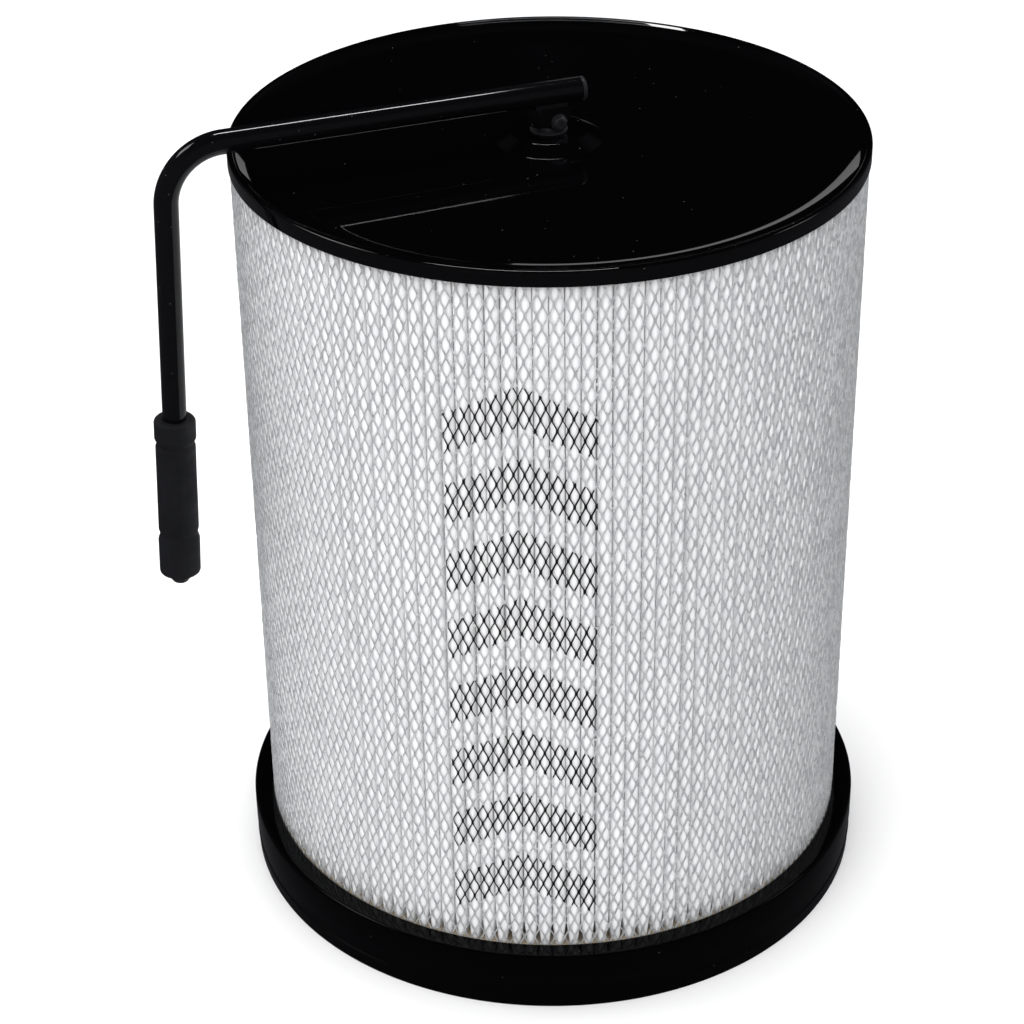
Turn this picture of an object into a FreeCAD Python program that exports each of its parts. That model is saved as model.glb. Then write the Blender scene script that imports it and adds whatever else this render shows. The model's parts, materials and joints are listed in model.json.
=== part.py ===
import FreeCAD, Part
import math
import os
from FreeCAD import Vector

# Pleated canister filter of a dust collector, with its hand-cranked paddle cleaner.
# Millimetres. +Z is up the canister's axis; the origin is the centre of the base collar's lower rim.
# The crank points along -X at rest, the paddles lie along X, and the pivot bolt's head faces -Y.

# --- Clearances ------------------------------------------------------------------------------------
running_clearance = 0.05      # radial, shaft in bush
seat_clearance = 0.2          # radial, a sleeve or boss in its seat
bolt_clearance = 0.3          # radial, bolt in its hole
axial_clearance = 0.3         # end play between turning faces
stop_clearance = 0.4          # crank's web over the shaft's eye

# --- Fasteners -------------------------------------------------------------------------------------
hex_flats_share = 3.2         # each a share of the bolt's radius
hex_head_share = 1.3
hex_nut_share = 1.7
round_head_share = 1.85
bolt_head_sheet = 2.0
screw_head_height = 1.6
bolt_tail = 1.0               # bolt beyond its nut

# --- Filter element --------------------------------------------------------------------------------
screen_radius = 250.0
screen_sheet = 1.2
screen_height = 615.5         # from the well's floor
pleat_count = 132
pleat_depth = 48.0
media_shift = 7.3             # radial offset between the two faces of the folded media
media_gap = 0.8               # from the pleat tips to the screen
media_head = 5.0              # screen above the media
potting_depth = 11.5
top_potting_depth = 8.0
bead_radius = 1.0
bead_rows = 5
bead_pitch_share = 105.0 / 615.5
bead_first_share = 108.5 / 615.5

# --- Base collar -----------------------------------------------------------------------------------
collar_sheet = 1.5
collar_margin = 14.4          # from the screen out to the collar's bore
collar_bore_length = 26.0
collar_joggle = 0.8
collar_edge_radius = 3.5
collar_bead_height = 11.5
collar_bead_radius = 0.6
well_floor = 39.5             # top face of the well that the element stands in
well_depth = 13.0             # down from the collar's shoulder
well_lip = 14.5               # well's inner wall above its floor
media_to_well_wall = 4.0
bar_flange_width = 18.0
seal_height = 10.0
seal_width = 25.0
seal_side_gap = 2.5

# --- Lid -------------------------------------------------------------------------------------------
lid_sheet = 1.2
skirt_overlap = 4.0           # screen up inside the lid's skirt
crest_radius = 3.8
crest_rise = 5.7              # rolled crest above the pan's floor
pan_edge_rise = 3.9
pan_edge_inset = 6.6          # from the skirt's outer face to the pan's edge
pan_slope_width = 29.4        # from the skirt's outer face in to the pan's flat
pan_lift = 2.5                # pan's floor above the screen's top
crest_bulge = 0.35
boss_rise = 7.3
boss_radius = 31.0
boss_slope = 12.0
hub_plate_sheet = 3.0
hub_plate_inset = 3.0

# --- Shaft and bearings ----------------------------------------------------------------------------
shaft_radius = 8.0
bush_wall = 4.0
bush_flange = 3.0
bush_flange_sheet = 1.0
upper_bush_length = 26.0
bush_nut_rim = 5.0            # nut's flats outside the bush, a side
bush_nut_height = 8.0
bush_washer_sheet = 2.0
bush_washer_rim = 2.0
crossbar_width = 40.0
crossbar_sheet = 5.0
crossbar_end_gap = 9.0        # from the bar's end to the element's inner tips
crossbar_hole_gap = 3.0
housing_length = 84.0
housing_width = 36.0
housing_flange = 6.0
housing_wall = 5.0
housing_height = 26.0
ring_sheet = 1.7
ring_width = 3.5
ring_slot = 5.0
ring_groove = 0.5
shaft_tail = 4.0              # shaft below the retaining ring
collar_wall = 6.0
collar_length = 12.0

# --- Agitator --------------------------------------------------------------------------------------
hub_wall = 8.0
hub_length = 30.0
arm_width = 25.0
arm_sheet = 5.0
lower_hub_lift = 35.0         # above the lower housing
upper_hub_drop = 83.0         # below the screen's top
paddle_bar_width = 25.0
paddle_bar_sheet = 4.0
paddle_lift = 24.0            # paddles above the well's inner flange
paddle_drop = 33.0            # paddles below the screen's top
bar_tip_gap = 22.0            # from the bar's outer edge to the element's inner tips
blade_tip_gap = 0.6
blade_sheet = 3.0
blade_width = 34.0
strip_width = 14.0
strip_sheet = 2.0
strip_inset = 1.0
blade_screw_count = 7
blade_screw_margin = 25.0
set_screw_radius = 2.5

# --- Crank -----------------------------------------------------------------------------------------
tube_radius = 9.5
tube_wall = 1.5
tube_stub = 26.0              # beyond the canister's axis
crank_margin = 53.5           # from the lid's skirt out to the bend's virtual corner
crank_bend_radius = 46.5
leg_splay = 2.49              # degrees
plug_flange = 3.6
plug_edge = 1.6
plug_depth = 14.0
pivot_offset = 5.0
pivot_rise = 8.5              # pivot above the lid's boss
pivot_bolt_radius = 3.0
eye_flat = 2.2                # milled off each side of the shaft
eye_radius = 8.7
eye_nose = 4.0
bracket_sheet = 3.0
bracket_web = 2.5
bracket_heel = 8.0            # from the shaft to the yoke's closed end
bracket_toe = 11.0            # from the pivot to the yoke's open end
bracket_bend = 8.0
bracket_step = 3.3            # yoke's heel above its ear ends
ear_end_radius = 6.9
ear_heel_turn = 15.0          # degrees round the ear's end to where its straight edges leave
ear_toe_turn = 20.0
bracket_toe_height = 4.0
washer_radius = 6.5
washer_sheet = 1.2
bolt_head_radius = 5.6
bolt_head_height = 3.4
bolt_end = 6.5
socket_flats = 4.0
socket_depth = 2.0
nut_flats = 10.0
nut_height = 5.5
weld_leg = 3.0
weld_foot = 2.0               # from under the tube's middle to the weld
weld_inset = 3.0
grip_drop = 225.4             # from the tube's axis to the grip's top
grip_length = 140.0
grip_wall = 6.75
grip_flare = 0.55
grip_groove = 1.5
grip_end_radius = 3.0
grip_nose_inset = 5.0
grip_nose_height = 6.0
lower_flare_top = 31.0        # heights up the grip from its lower end
lower_groove_height = 36.5
barrel_start = 41.0
barrel_drop = 24.0            # depths down from the grip's upper end
upper_groove_drop = 20.5
upper_flare_drop = 17.0
cap_drop = 9.0
cap_lip = 1.0                 # cap's rim beyond the tube
cap_tip_radius = 6.0
cap_tip_edge = 1.5

# --- Worked out from the above ---------------------------------------------------------------------
collar_bore_radius = screen_radius + collar_margin
joggle_radius = collar_bore_radius + collar_joggle
collar_height = well_floor + well_depth
well_outer_radius = screen_radius + axial_clearance
well_underside = well_floor - collar_sheet
media_outer_radius = screen_radius - screen_sheet - media_gap
media_inner_radius = media_outer_radius - pleat_depth
well_inner_radius = media_inner_radius - media_to_well_wall
bar_flange_radius = well_inner_radius - bar_flange_width
bar_flange_top = well_floor + well_lip
screen_top = well_floor + screen_height
element_top = screen_top - media_head
skirt_bottom = screen_top - skirt_overlap
skirt_outer_radius = screen_radius + seat_clearance + lid_sheet
pan_floor = screen_top + pan_lift
pan_edge_height = pan_floor + pan_edge_rise
pan_flat_radius = skirt_outer_radius - pan_slope_width
lid_crest = pan_floor + crest_rise
boss_top = pan_floor + boss_rise
bore_radius = shaft_radius + running_clearance
bush_outer_radius = bore_radius + bush_wall
bush_flange_radius = bush_outer_radius + bush_flange
bar_underside = bar_flange_top
bar_top = bar_underside + crossbar_sheet
bar_half_length = media_inner_radius - crossbar_end_gap
flange_bolt_radius = (bar_flange_radius + well_inner_radius - collar_sheet) / 2
housing_top = bar_top + housing_height
hub_radius = shaft_radius + hub_wall
lower_hub_height = housing_top + lower_hub_lift
upper_hub_height = screen_top - upper_hub_drop
paddle_bottom = bar_flange_top + paddle_lift
paddle_top = screen_top - paddle_drop
pivot_height = boss_top + pivot_rise
eye_thickness = 2 * (shaft_radius - eye_flat)
eye_bottom = boss_top + bush_flange_sheet + axial_clearance
ear_inner = eye_thickness / 2 + axial_clearance
ear_outer = ear_inner + bracket_sheet
bracket_top = pivot_height + eye_radius + stop_clearance + bracket_web
bracket_left = shaft_radius + bracket_heel
bracket_right = pivot_offset + bracket_toe
tube_height = bracket_top + tube_radius
crank_reach = skirt_outer_radius + crank_margin
grip_top = tube_height - grip_drop
grip_bottom = grip_top - grip_length
grip_radius = tube_radius + grip_wall
cap_radius = tube_radius + cap_lip
nut_top = boss_top - lid_sheet - hub_plate_sheet - bush_washer_sheet
Z = Vector(0, 0, 1)
Y = Vector(0, 1, 0)
X = Vector(1, 0, 0)


# --- Shape helpers ---------------------------------------------------------------------------------
def cylinder(radius, height, base=(0, 0, 0), along=Z):
    return Part.makeCylinder(radius, height, Vector(*base), along)


def ring(outer, inner, bottom, top):
    return cylinder(outer, top - bottom, (0, 0, bottom)).cut(cylinder(inner, top - bottom, (0, 0, bottom)))


def box(x0, x1, y0, y1, z0, z1):
    return Part.makeBox(x1 - x0, y1 - y0, z1 - z0, Vector(x0, y0, z0))


def outline(points):
    """Closed wire through XZ points. A point ("arc", x, z) is the middle of an arc to the next one."""
    edges = []
    start = points[0]
    middle = None
    for point in points[1:] + [points[0]]:
        if point[0] == "arc":
            middle = point[1:]
            continue
        here, there = Vector(start[0], 0, start[1]), Vector(point[0], 0, point[1])
        if middle:
            edges.append(Part.Arc(here, Vector(middle[0], 0, middle[1]), there).toShape())
        else:
            edges.append(Part.LineSegment(here, there).toShape())
        start, middle = point, None
    return Part.Wire(edges)


def lathe(points):
    return Part.Face(outline(points)).revolve(Vector(0, 0, 0), Z, 360)


def plate(points, y0, y1):
    face = Part.Face(outline(points))
    face.translate(Vector(0, y0, 0))
    return face.extrude(Vector(0, y1 - y0, 0))


def hexagon(flats, bottom, top):
    corner = flats / 2 / math.cos(math.pi / 6)
    angles = [math.radians(60 * k) for k in range(7)]
    points = [Vector(corner * math.cos(a), corner * math.sin(a), bottom) for a in angles]
    return Part.Face(Part.makePolygon(points)).extrude(Vector(0, 0, top - bottom))


def group(shapes):
    return Part.makeCompound(shapes)


def moved(shape, x=0, y=0, z=0):
    copy = shape.copy()
    copy.translate(Vector(x, y, z))
    return copy


def hex_bolt(radius, head_bottom, shank):
    head = hexagon(radius * hex_flats_share, head_bottom, head_bottom + radius * hex_head_share)
    return head.fuse(cylinder(radius, shank, (0, 0, head_bottom - shank)))


def hex_nut(radius, bottom):
    height = radius * hex_nut_share
    return hexagon(radius * hex_flats_share, bottom, bottom + height).cut(
        cylinder(radius, height, (0, 0, bottom)))


def bolt_spots(x_offset, y_offset):
    return [(sx * x_offset, sy * y_offset) for sx in (-1, 1) for sy in (-1, 1)]


# --- Base ------------------------------------------------------------------------------------------
crossbar_bolt_radius = 3.0
crossbar_bolt_y = crossbar_width / 2 - 8
crossbar_bolt_x = math.sqrt(flange_bolt_radius ** 2 - crossbar_bolt_y ** 2)
housing_bolt_radius = 3.0
housing_bolt_x = housing_length / 2 - 9


def base_collar():
    t = collar_sheet
    outer = joggle_radius + t
    edge = collar_edge_radius
    corner = edge * (1 - math.sqrt(0.5))
    inner_edge = edge - t
    inner_corner = inner_edge * (1 - math.sqrt(0.5))
    top = collar_height
    wall_inner = well_inner_radius - t
    body = lathe([
        (collar_bore_radius, 0),
        (collar_bore_radius + t, 0),
        (collar_bore_radius + t, collar_bore_length - 1),
        (outer, collar_bore_length),
        (outer, top - edge),
        ("arc", outer - corner, top - corner),
        (outer - edge, top),
        (well_outer_radius, top),
        (well_outer_radius, well_floor),
        (well_inner_radius, well_floor),
        (well_inner_radius, bar_flange_top),
        (bar_flange_radius, bar_flange_top),
        (bar_flange_radius, bar_flange_top - t),
        (wall_inner, bar_flange_top - t),
        (wall_inner, well_underside),
        (well_outer_radius + t, well_underside),
        (well_outer_radius + t, top - t),
        (outer - edge, top - t),
        ("arc", outer - t - inner_corner, top - t - inner_corner),
        (outer - t, top - edge),
        (outer - t, collar_bore_length + 0.5),
        (collar_bore_radius, collar_bore_length),
    ])
    bead_centre = collar_bore_radius + t
    bead = Part.makeTorus(bead_centre, collar_bead_radius, Vector(0, 0, collar_bead_height))
    bead = bead.cut(cylinder(bead_centre - t / 2, 4 * collar_bead_radius,
                             (0, 0, collar_bead_height - 2 * collar_bead_radius)))
    body = body.fuse(bead)
    for x, y in bolt_spots(crossbar_bolt_x, crossbar_bolt_y):
        body = body.cut(cylinder(crossbar_bolt_radius + bolt_clearance, 10, (x, y, bar_flange_top - 5)))
    return body


def base_seal():
    outer = joggle_radius - seal_side_gap
    return ring(outer, outer - seal_width, well_underside - seal_height, well_underside)


def crossbar():
    bar = box(-bar_half_length, bar_half_length, -crossbar_width / 2, crossbar_width / 2,
              bar_underside, bar_top)
    bar = bar.cut(cylinder(bush_outer_radius + crossbar_hole_gap, crossbar_sheet, (0, 0, bar_underside)))
    for x, y in bolt_spots(crossbar_bolt_x, crossbar_bolt_y):
        bar = bar.cut(cylinder(crossbar_bolt_radius + bolt_clearance, crossbar_sheet, (x, y, bar_underside)))
    for x in (-housing_bolt_x, housing_bolt_x):
        bar = bar.cut(cylinder(housing_bolt_radius + bolt_clearance, crossbar_sheet, (x, 0, bar_underside)))
    return bar


def crossbar_bolts():
    shank = crossbar_sheet + collar_sheet + crossbar_bolt_radius * hex_nut_share + bolt_tail
    bolt = hex_bolt(crossbar_bolt_radius, bar_top, shank)
    return group([moved(bolt, x, y) for x, y in bolt_spots(crossbar_bolt_x, crossbar_bolt_y)])


def crossbar_nuts():
    nut = hex_nut(crossbar_bolt_radius, bar_flange_top - collar_sheet - crossbar_bolt_radius * hex_nut_share)
    return group([moved(nut, x, y) for x, y in bolt_spots(crossbar_bolt_x, crossbar_bolt_y)])


def lower_housing():
    body = box(-housing_length / 2, housing_length / 2, -housing_width / 2, housing_width / 2,
               bar_top, bar_top + housing_flange)
    upright = [edge for edge in body.Edges if edge.BoundBox.ZLength > housing_flange / 2]
    body = body.makeFillet(housing_width / 4, upright)
    body = body.fuse(cylinder(bush_outer_radius + housing_wall, housing_height, (0, 0, bar_top)))
    body = body.cut(cylinder(bush_outer_radius + running_clearance, housing_height, (0, 0, bar_top)))
    for x in (-housing_bolt_x, housing_bolt_x):
        body = body.cut(cylinder(housing_bolt_radius + bolt_clearance, housing_flange, (x, 0, bar_top)))
    return body


def housing_bolts():
    shank = housing_flange + crossbar_sheet + housing_bolt_radius * hex_nut_share + bolt_tail
    bolt = hex_bolt(housing_bolt_radius, bar_top + housing_flange, shank)
    return group([moved(bolt, x) for x in (-housing_bolt_x, housing_bolt_x)])


def housing_nuts():
    nut = hex_nut(housing_bolt_radius, bar_underside - housing_bolt_radius * hex_nut_share)
    return group([moved(nut, x) for x in (-housing_bolt_x, housing_bolt_x)])


def lower_bush():
    sleeve = ring(bush_outer_radius, bore_radius, bar_top, housing_top)
    flange = ring(bush_flange_radius, bore_radius, housing_top, housing_top + 2 * bush_flange_sheet)
    return sleeve.fuse(flange)


# --- Filter element --------------------------------------------------------------------------------
def zigzag(outer, inner, height):
    points = []
    for k in range(2 * pleat_count):
        radius = inner if k % 2 else outer
        angle = math.pi * k / pleat_count
        points.append(Vector(radius * math.cos(angle), radius * math.sin(angle), height))
    return Part.makePolygon(points + [points[0]])


def pleated_media():
    bottom = well_floor + 1
    height = Vector(0, 0, element_top - bottom)
    outside = zigzag(media_outer_radius, media_inner_radius + media_shift, bottom)
    inside = zigzag(media_outer_radius - media_shift, media_inner_radius, bottom)
    return Part.Face(outside).extrude(height).cut(Part.Face(inside).extrude(height))


def spacer_beads():
    radius = media_outer_radius - bead_radius / 2
    bead_first = well_floor + screen_height * bead_first_share
    bead_pitch = screen_height * bead_pitch_share
    return group([Part.makeTorus(radius, bead_radius, Vector(0, 0, bead_first + k * bead_pitch))
                  for k in range(bead_rows)])


def outer_screen():
    return ring(screen_radius, screen_radius - screen_sheet, well_floor + 0.2, screen_top)


def potting(bottom, top):
    outer = screen_radius - screen_sheet - seat_clearance
    return ring(outer, well_inner_radius + seat_clearance, bottom, top)


def bottom_potting():
    return potting(well_floor, well_floor + potting_depth)


def top_potting():
    top = pan_floor - lid_sheet
    return potting(top - top_potting_depth, top)


# --- Lid and upper bearing -------------------------------------------------------------------------
def lid():
    t = lid_sheet
    outer = skirt_outer_radius
    crest = crest_radius
    corner = crest * (1 - math.sqrt(0.5))
    inner = crest - t
    inner_corner = inner * (1 - math.sqrt(0.5))
    edge = outer - pan_edge_inset
    crest_end = outer - crest

    def pan(drop):
        """Steps of the upturned stretch from the pan's flat out to its edge."""
        rise = pan_edge_height - pan_floor
        width = edge - pan_flat_radius
        return [(pan_flat_radius + width * share, pan_floor + rise * share ** 2 - drop)
                for share in (0.25, 0.5, 0.75)]

    hole = bush_outer_radius + seat_clearance
    return lathe([
        (outer, skirt_bottom),
        (outer, lid_crest - crest),
        ("arc", outer - corner, lid_crest - corner),
        (crest_end, lid_crest),
        ("arc", (crest_end + edge) / 2, (lid_crest + pan_edge_height) / 2 + crest_bulge),
        (edge, pan_edge_height),
        *reversed(pan(0)),
        (pan_flat_radius, pan_floor),
        (boss_radius + boss_slope, pan_floor),
        (boss_radius, boss_top),
        (hole, boss_top),
        (hole, boss_top - t),
        (boss_radius - t / 2, boss_top - t),
        (boss_radius + boss_slope - t / 2, pan_floor - t),
        (pan_flat_radius, pan_floor - t),
        *pan(t),
        (edge, pan_edge_height - t),
        ("arc", (crest_end + edge) / 2, (lid_crest + pan_edge_height) / 2 + crest_bulge - t),
        (crest_end, lid_crest - t),
        ("arc", outer - t - inner_corner, lid_crest - t - inner_corner),
        (outer - t, lid_crest - crest),
        (outer - t, skirt_bottom),
    ])


def hub_plate():
    top = boss_top - lid_sheet
    hole = bush_outer_radius + seat_clearance
    return ring(boss_radius - hub_plate_inset, hole, top - hub_plate_sheet, top)


def upper_bush():
    sleeve = ring(bush_outer_radius, bore_radius, boss_top + bush_flange_sheet - upper_bush_length,
                  boss_top + bush_flange_sheet)
    flange = ring(bush_flange_radius, bore_radius, boss_top, boss_top + bush_flange_sheet)
    return sleeve.fuse(flange)


def bush_washer():
    rim = bush_outer_radius + bush_nut_rim + bush_washer_rim
    return ring(rim, bush_outer_radius + seat_clearance, nut_top, nut_top + bush_washer_sheet)


def bush_nut():
    body = hexagon(2 * (bush_outer_radius + bush_nut_rim), nut_top - bush_nut_height, nut_top)
    return body.cut(cylinder(bush_outer_radius + running_clearance, bush_nut_height,
                             (0, 0, nut_top - bush_nut_height)))


# --- Agitator --------------------------------------------------------------------------------------
ring_top = bar_top - axial_clearance
shaft_bottom = ring_top - ring_sheet - shaft_tail
collar_top = boss_top + bush_flange_sheet - upper_bush_length - axial_clearance
bar_outer_x = media_inner_radius - bar_tip_gap
bar_inner_x = bar_outer_x - paddle_bar_width
arm_length = bar_outer_x
arm_bolt_radius = 3.0
arm_bolt_dz = arm_width / 4
arm_bolt_x = (bar_outer_x + bar_inner_x) / 2
blade_outer_x = media_inner_radius - blade_tip_gap
blade_inner_x = blade_outer_x - blade_width
blade_screw_radius = 2.0
strip_outer_x = bar_outer_x - strip_inset
strip_inner_x = strip_outer_x - strip_width
blade_screw_x = (strip_outer_x + strip_inner_x) / 2
bar_face = arm_sheet / 2      # the bars lie against the +Y face of the arms
blade_face = bar_face + paddle_bar_sheet
strip_face = blade_face + blade_sheet


def agitator_shaft():
    def round_point(angle):
        return pivot_offset + eye_radius * math.cos(angle), pivot_height + eye_radius * math.sin(angle)

    end_angle = -math.asin((pivot_height - eye_bottom) / eye_radius)
    left = -shaft_radius
    top = pivot_height + eye_radius
    round_corner = eye_nose * (1 - math.sqrt(0.5))
    eye = plate([
        (left, eye_bottom),
        (left, top - eye_nose),
        ("arc", left + round_corner, top - round_corner),
        (left + eye_nose, top),
        (pivot_offset, top),
        ("arc", *round_point(math.pi / 4)),
        round_point(0),
        ("arc", *round_point(end_angle / 2)),
        round_point(end_angle),
    ], -eye_thickness / 2, eye_thickness / 2)
    eye = eye.cut(cylinder(pivot_bolt_radius + running_clearance, eye_thickness,
                           (pivot_offset, -eye_thickness / 2, pivot_height), Y))
    body = cylinder(shaft_radius, eye_bottom - shaft_bottom, (0, 0, shaft_bottom)).fuse(eye)
    groove_bottom = ring_top - ring_sheet - 0.1
    return body.cut(ring(shaft_radius + 1, shaft_radius - ring_groove, groove_bottom, ring_top + 0.1))


def retaining_ring():
    outer = shaft_radius + ring_width
    bottom = ring_top - ring_sheet
    body = ring(outer, shaft_radius - ring_groove + 0.1, bottom, ring_top)
    return body.cut(box(0, outer + 1, -ring_slot / 2, ring_slot / 2, bottom, ring_top))


def screwed_hub(radius, length, bottom):
    body = ring(radius, shaft_radius + running_clearance, bottom, bottom + length)
    middle = (0, 0, bottom + length / 2)
    return body.cut(cylinder(set_screw_radius + running_clearance, radius + 1, middle, Y))


def set_screw(radius, height):
    start = shaft_radius + 0.1
    return cylinder(set_screw_radius, radius - 1 - start, (0, start, height), Y)


def shaft_collar():
    return screwed_hub(shaft_radius + collar_wall, collar_length, collar_top - collar_length)


def collar_screw():
    return set_screw(shaft_radius + collar_wall, collar_top - collar_length / 2)


def paddle_arm(bottom):
    middle = bottom + hub_length / 2
    arm = box(-arm_length, arm_length, -arm_sheet / 2, arm_sheet / 2, middle - arm_width / 2,
              middle + arm_width / 2)
    body = ring(hub_radius, shaft_radius + running_clearance, bottom, bottom + hub_length)
    body = body.fuse(arm.cut(cylinder(shaft_radius + 1, hub_length, (0, 0, bottom))))
    body = body.cut(cylinder(set_screw_radius + running_clearance, hub_radius + 1, (0, 0, middle), Y))
    for side in (-1, 1):
        for dz in (-arm_bolt_dz, arm_bolt_dz):
            body = body.cut(cylinder(arm_bolt_radius + bolt_clearance, arm_sheet,
                                     (side * arm_bolt_x, -arm_sheet / 2, middle + dz), Y))
    return body


def hub_middles():
    return [lower_hub_height + hub_length / 2, upper_hub_height + hub_length / 2]


def hub_screws():
    return group([set_screw(hub_radius, middle) for middle in hub_middles()])


def paddle_bar(side):
    low, high = sorted((side * bar_inner_x, side * bar_outer_x))
    bar = box(low, high, bar_face, blade_face, paddle_bottom, paddle_top)
    for middle in hub_middles():
        for dz in (-arm_bolt_dz, arm_bolt_dz):
            bar = bar.cut(cylinder(arm_bolt_radius + bolt_clearance, paddle_bar_sheet,
                                   (side * arm_bolt_x, bar_face, middle + dz), Y))
    return screw_holes(bar, side)


def screw_heights():
    pitch = (paddle_top - paddle_bottom - 2 * blade_screw_margin) / (blade_screw_count - 1)
    return [paddle_bottom + blade_screw_margin + k * pitch for k in range(blade_screw_count)]


def screw_holes(shape, side):
    for height in screw_heights():
        shape = shape.cut(cylinder(blade_screw_radius + bolt_clearance / 2, strip_face + strip_sheet,
                                   (side * blade_screw_x, 0, height), Y))
    return shape


def arm_bolts():
    # The shanks end flush with the bar, under the blade.
    length = bolt_head_sheet + arm_sheet + paddle_bar_sheet
    bolts = []
    for side in (-1, 1):
        for middle in hub_middles():
            for dz in (-arm_bolt_dz, arm_bolt_dz):
                place = (side * arm_bolt_x, -arm_sheet / 2 - bolt_head_sheet, middle + dz)
                head = cylinder(arm_bolt_radius * round_head_share, bolt_head_sheet, place, Y)
                bolts.append(head.fuse(cylinder(arm_bolt_radius, length, place, Y)))
    return group(bolts)


def wiper_blade(side):
    low, high = sorted((side * blade_inner_x, side * blade_outer_x))
    blade = box(low, high, blade_face, strip_face, paddle_bottom, paddle_top)
    return screw_holes(blade, side)


def clamp_strip(side):
    low, high = sorted((side * strip_inner_x, side * strip_outer_x))
    strip = box(low, high, strip_face, strip_face + strip_sheet, paddle_bottom, paddle_top)
    return screw_holes(strip, side)


def blade_screws():
    length = strip_face + strip_sheet - bar_face
    screws = []
    for side in (-1, 1):
        for height in screw_heights():
            shank = cylinder(blade_screw_radius, length, (side * blade_screw_x, bar_face, height), Y)
            head = cylinder(blade_screw_radius * round_head_share, screw_head_height,
                            (side * blade_screw_x, strip_face + strip_sheet, height), Y)
            screws.append(shank.fuse(head))
    return group(screws)


# --- Crank -----------------------------------------------------------------------------------------
turn = math.radians(90 - leg_splay)
leg_direction = Vector(-math.cos(turn), 0, -math.sin(turn))
tangent = crank_bend_radius * math.tan(turn / 2)
bend_corner = Vector(-crank_reach, 0, tube_height)
bend_start = bend_corner + Vector(tangent, 0, 0)
bend_end = bend_corner + leg_direction * tangent
bend_centre = bend_start - Vector(0, 0, crank_bend_radius)
bend_middle = bend_centre + Vector(-math.sin(turn / 2), 0, math.cos(turn / 2)) * crank_bend_radius


def leg_point(height):
    return bend_corner + leg_direction * ((tube_height - height) / math.sin(turn))


def crank_path(start, end):
    edges = [
        Part.LineSegment(start, bend_start).toShape(),
        Part.Arc(bend_start, bend_middle, bend_end).toShape(),
        Part.LineSegment(bend_end, end).toShape(),
    ]
    return Part.Wire(edges)


def rod_along_path(radius, overrun):
    start = Vector(tube_stub + overrun, 0, tube_height)
    end = leg_point(grip_bottom - overrun)
    circle = Part.Wire(Part.makeCircle(radius, start, Vector(-1, 0, 0)))
    return crank_path(start, end).makePipeShell([circle], True, False)


def crank_arm():
    return rod_along_path(tube_radius, 0).cut(rod_along_path(tube_radius - tube_wall, 1))


def tube_plug():
    corner = plug_edge * (1 - math.sqrt(0.5))
    flange = lathe([
        (0, 0),
        (tube_radius, 0),
        (tube_radius, plug_flange - plug_edge),
        ("arc", tube_radius - corner, plug_flange - corner),
        (tube_radius - plug_edge, plug_flange),
        (0, plug_flange),
    ])
    body = flange.fuse(cylinder(tube_radius - tube_wall - 0.1, plug_depth, (0, 0, -plug_depth)))
    body.rotate(Vector(0, 0, 0), Y, 90)
    body.translate(Vector(tube_stub, 0, tube_height))
    return body


def along_leg(shape, height):
    """A shape made up the Z axis, set on the crank's leg with its origin at that height."""
    shape.rotate(Vector(0, 0, 0), Y, leg_splay)
    shape.translate(leg_point(height))
    return shape


def hand_grip():
    length = (grip_top - grip_bottom) / math.sin(turn)
    r = grip_radius
    flare = r + grip_flare
    groove = r - grip_groove
    bore = tube_radius + running_clearance
    corner = grip_end_radius * (1 - math.sqrt(0.5))
    nose = grip_nose_inset * (1 - math.sqrt(0.5))
    body = lathe([
        (bore, 0),
        (flare - grip_nose_inset, 0),
        ("arc", flare - nose, grip_nose_height * (1 - math.sqrt(0.5))),
        (flare, grip_nose_height),
        (flare, lower_flare_top),
        (groove, lower_groove_height),
        (r, barrel_start),
        (r, length - barrel_drop),
        (groove, length - upper_groove_drop),
        (flare, length - upper_flare_drop),
        (flare, length - grip_end_radius),
        ("arc", flare - corner, length - corner),
        (flare - grip_end_radius, length),
        (bore, length),
    ])
    return along_leg(body, grip_bottom)


def grip_cap():
    tip = cap_tip_edge * (1 - math.sqrt(0.5))
    body = lathe([
        (0, -cap_drop),
        (cap_tip_radius - cap_tip_edge, -cap_drop),
        ("arc", cap_tip_radius - tip, -cap_drop + tip),
        (cap_tip_radius, -cap_drop + cap_tip_edge),
        ("arc", (cap_tip_radius + 2 * cap_radius) / 3, -cap_drop * 0.4),
        (cap_radius, 0),
        (tube_radius - tube_wall - 0.1, 0),
        (tube_radius - tube_wall - 0.1, plug_depth),
        (0, plug_depth),
    ])
    return along_leg(body, grip_bottom)


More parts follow.
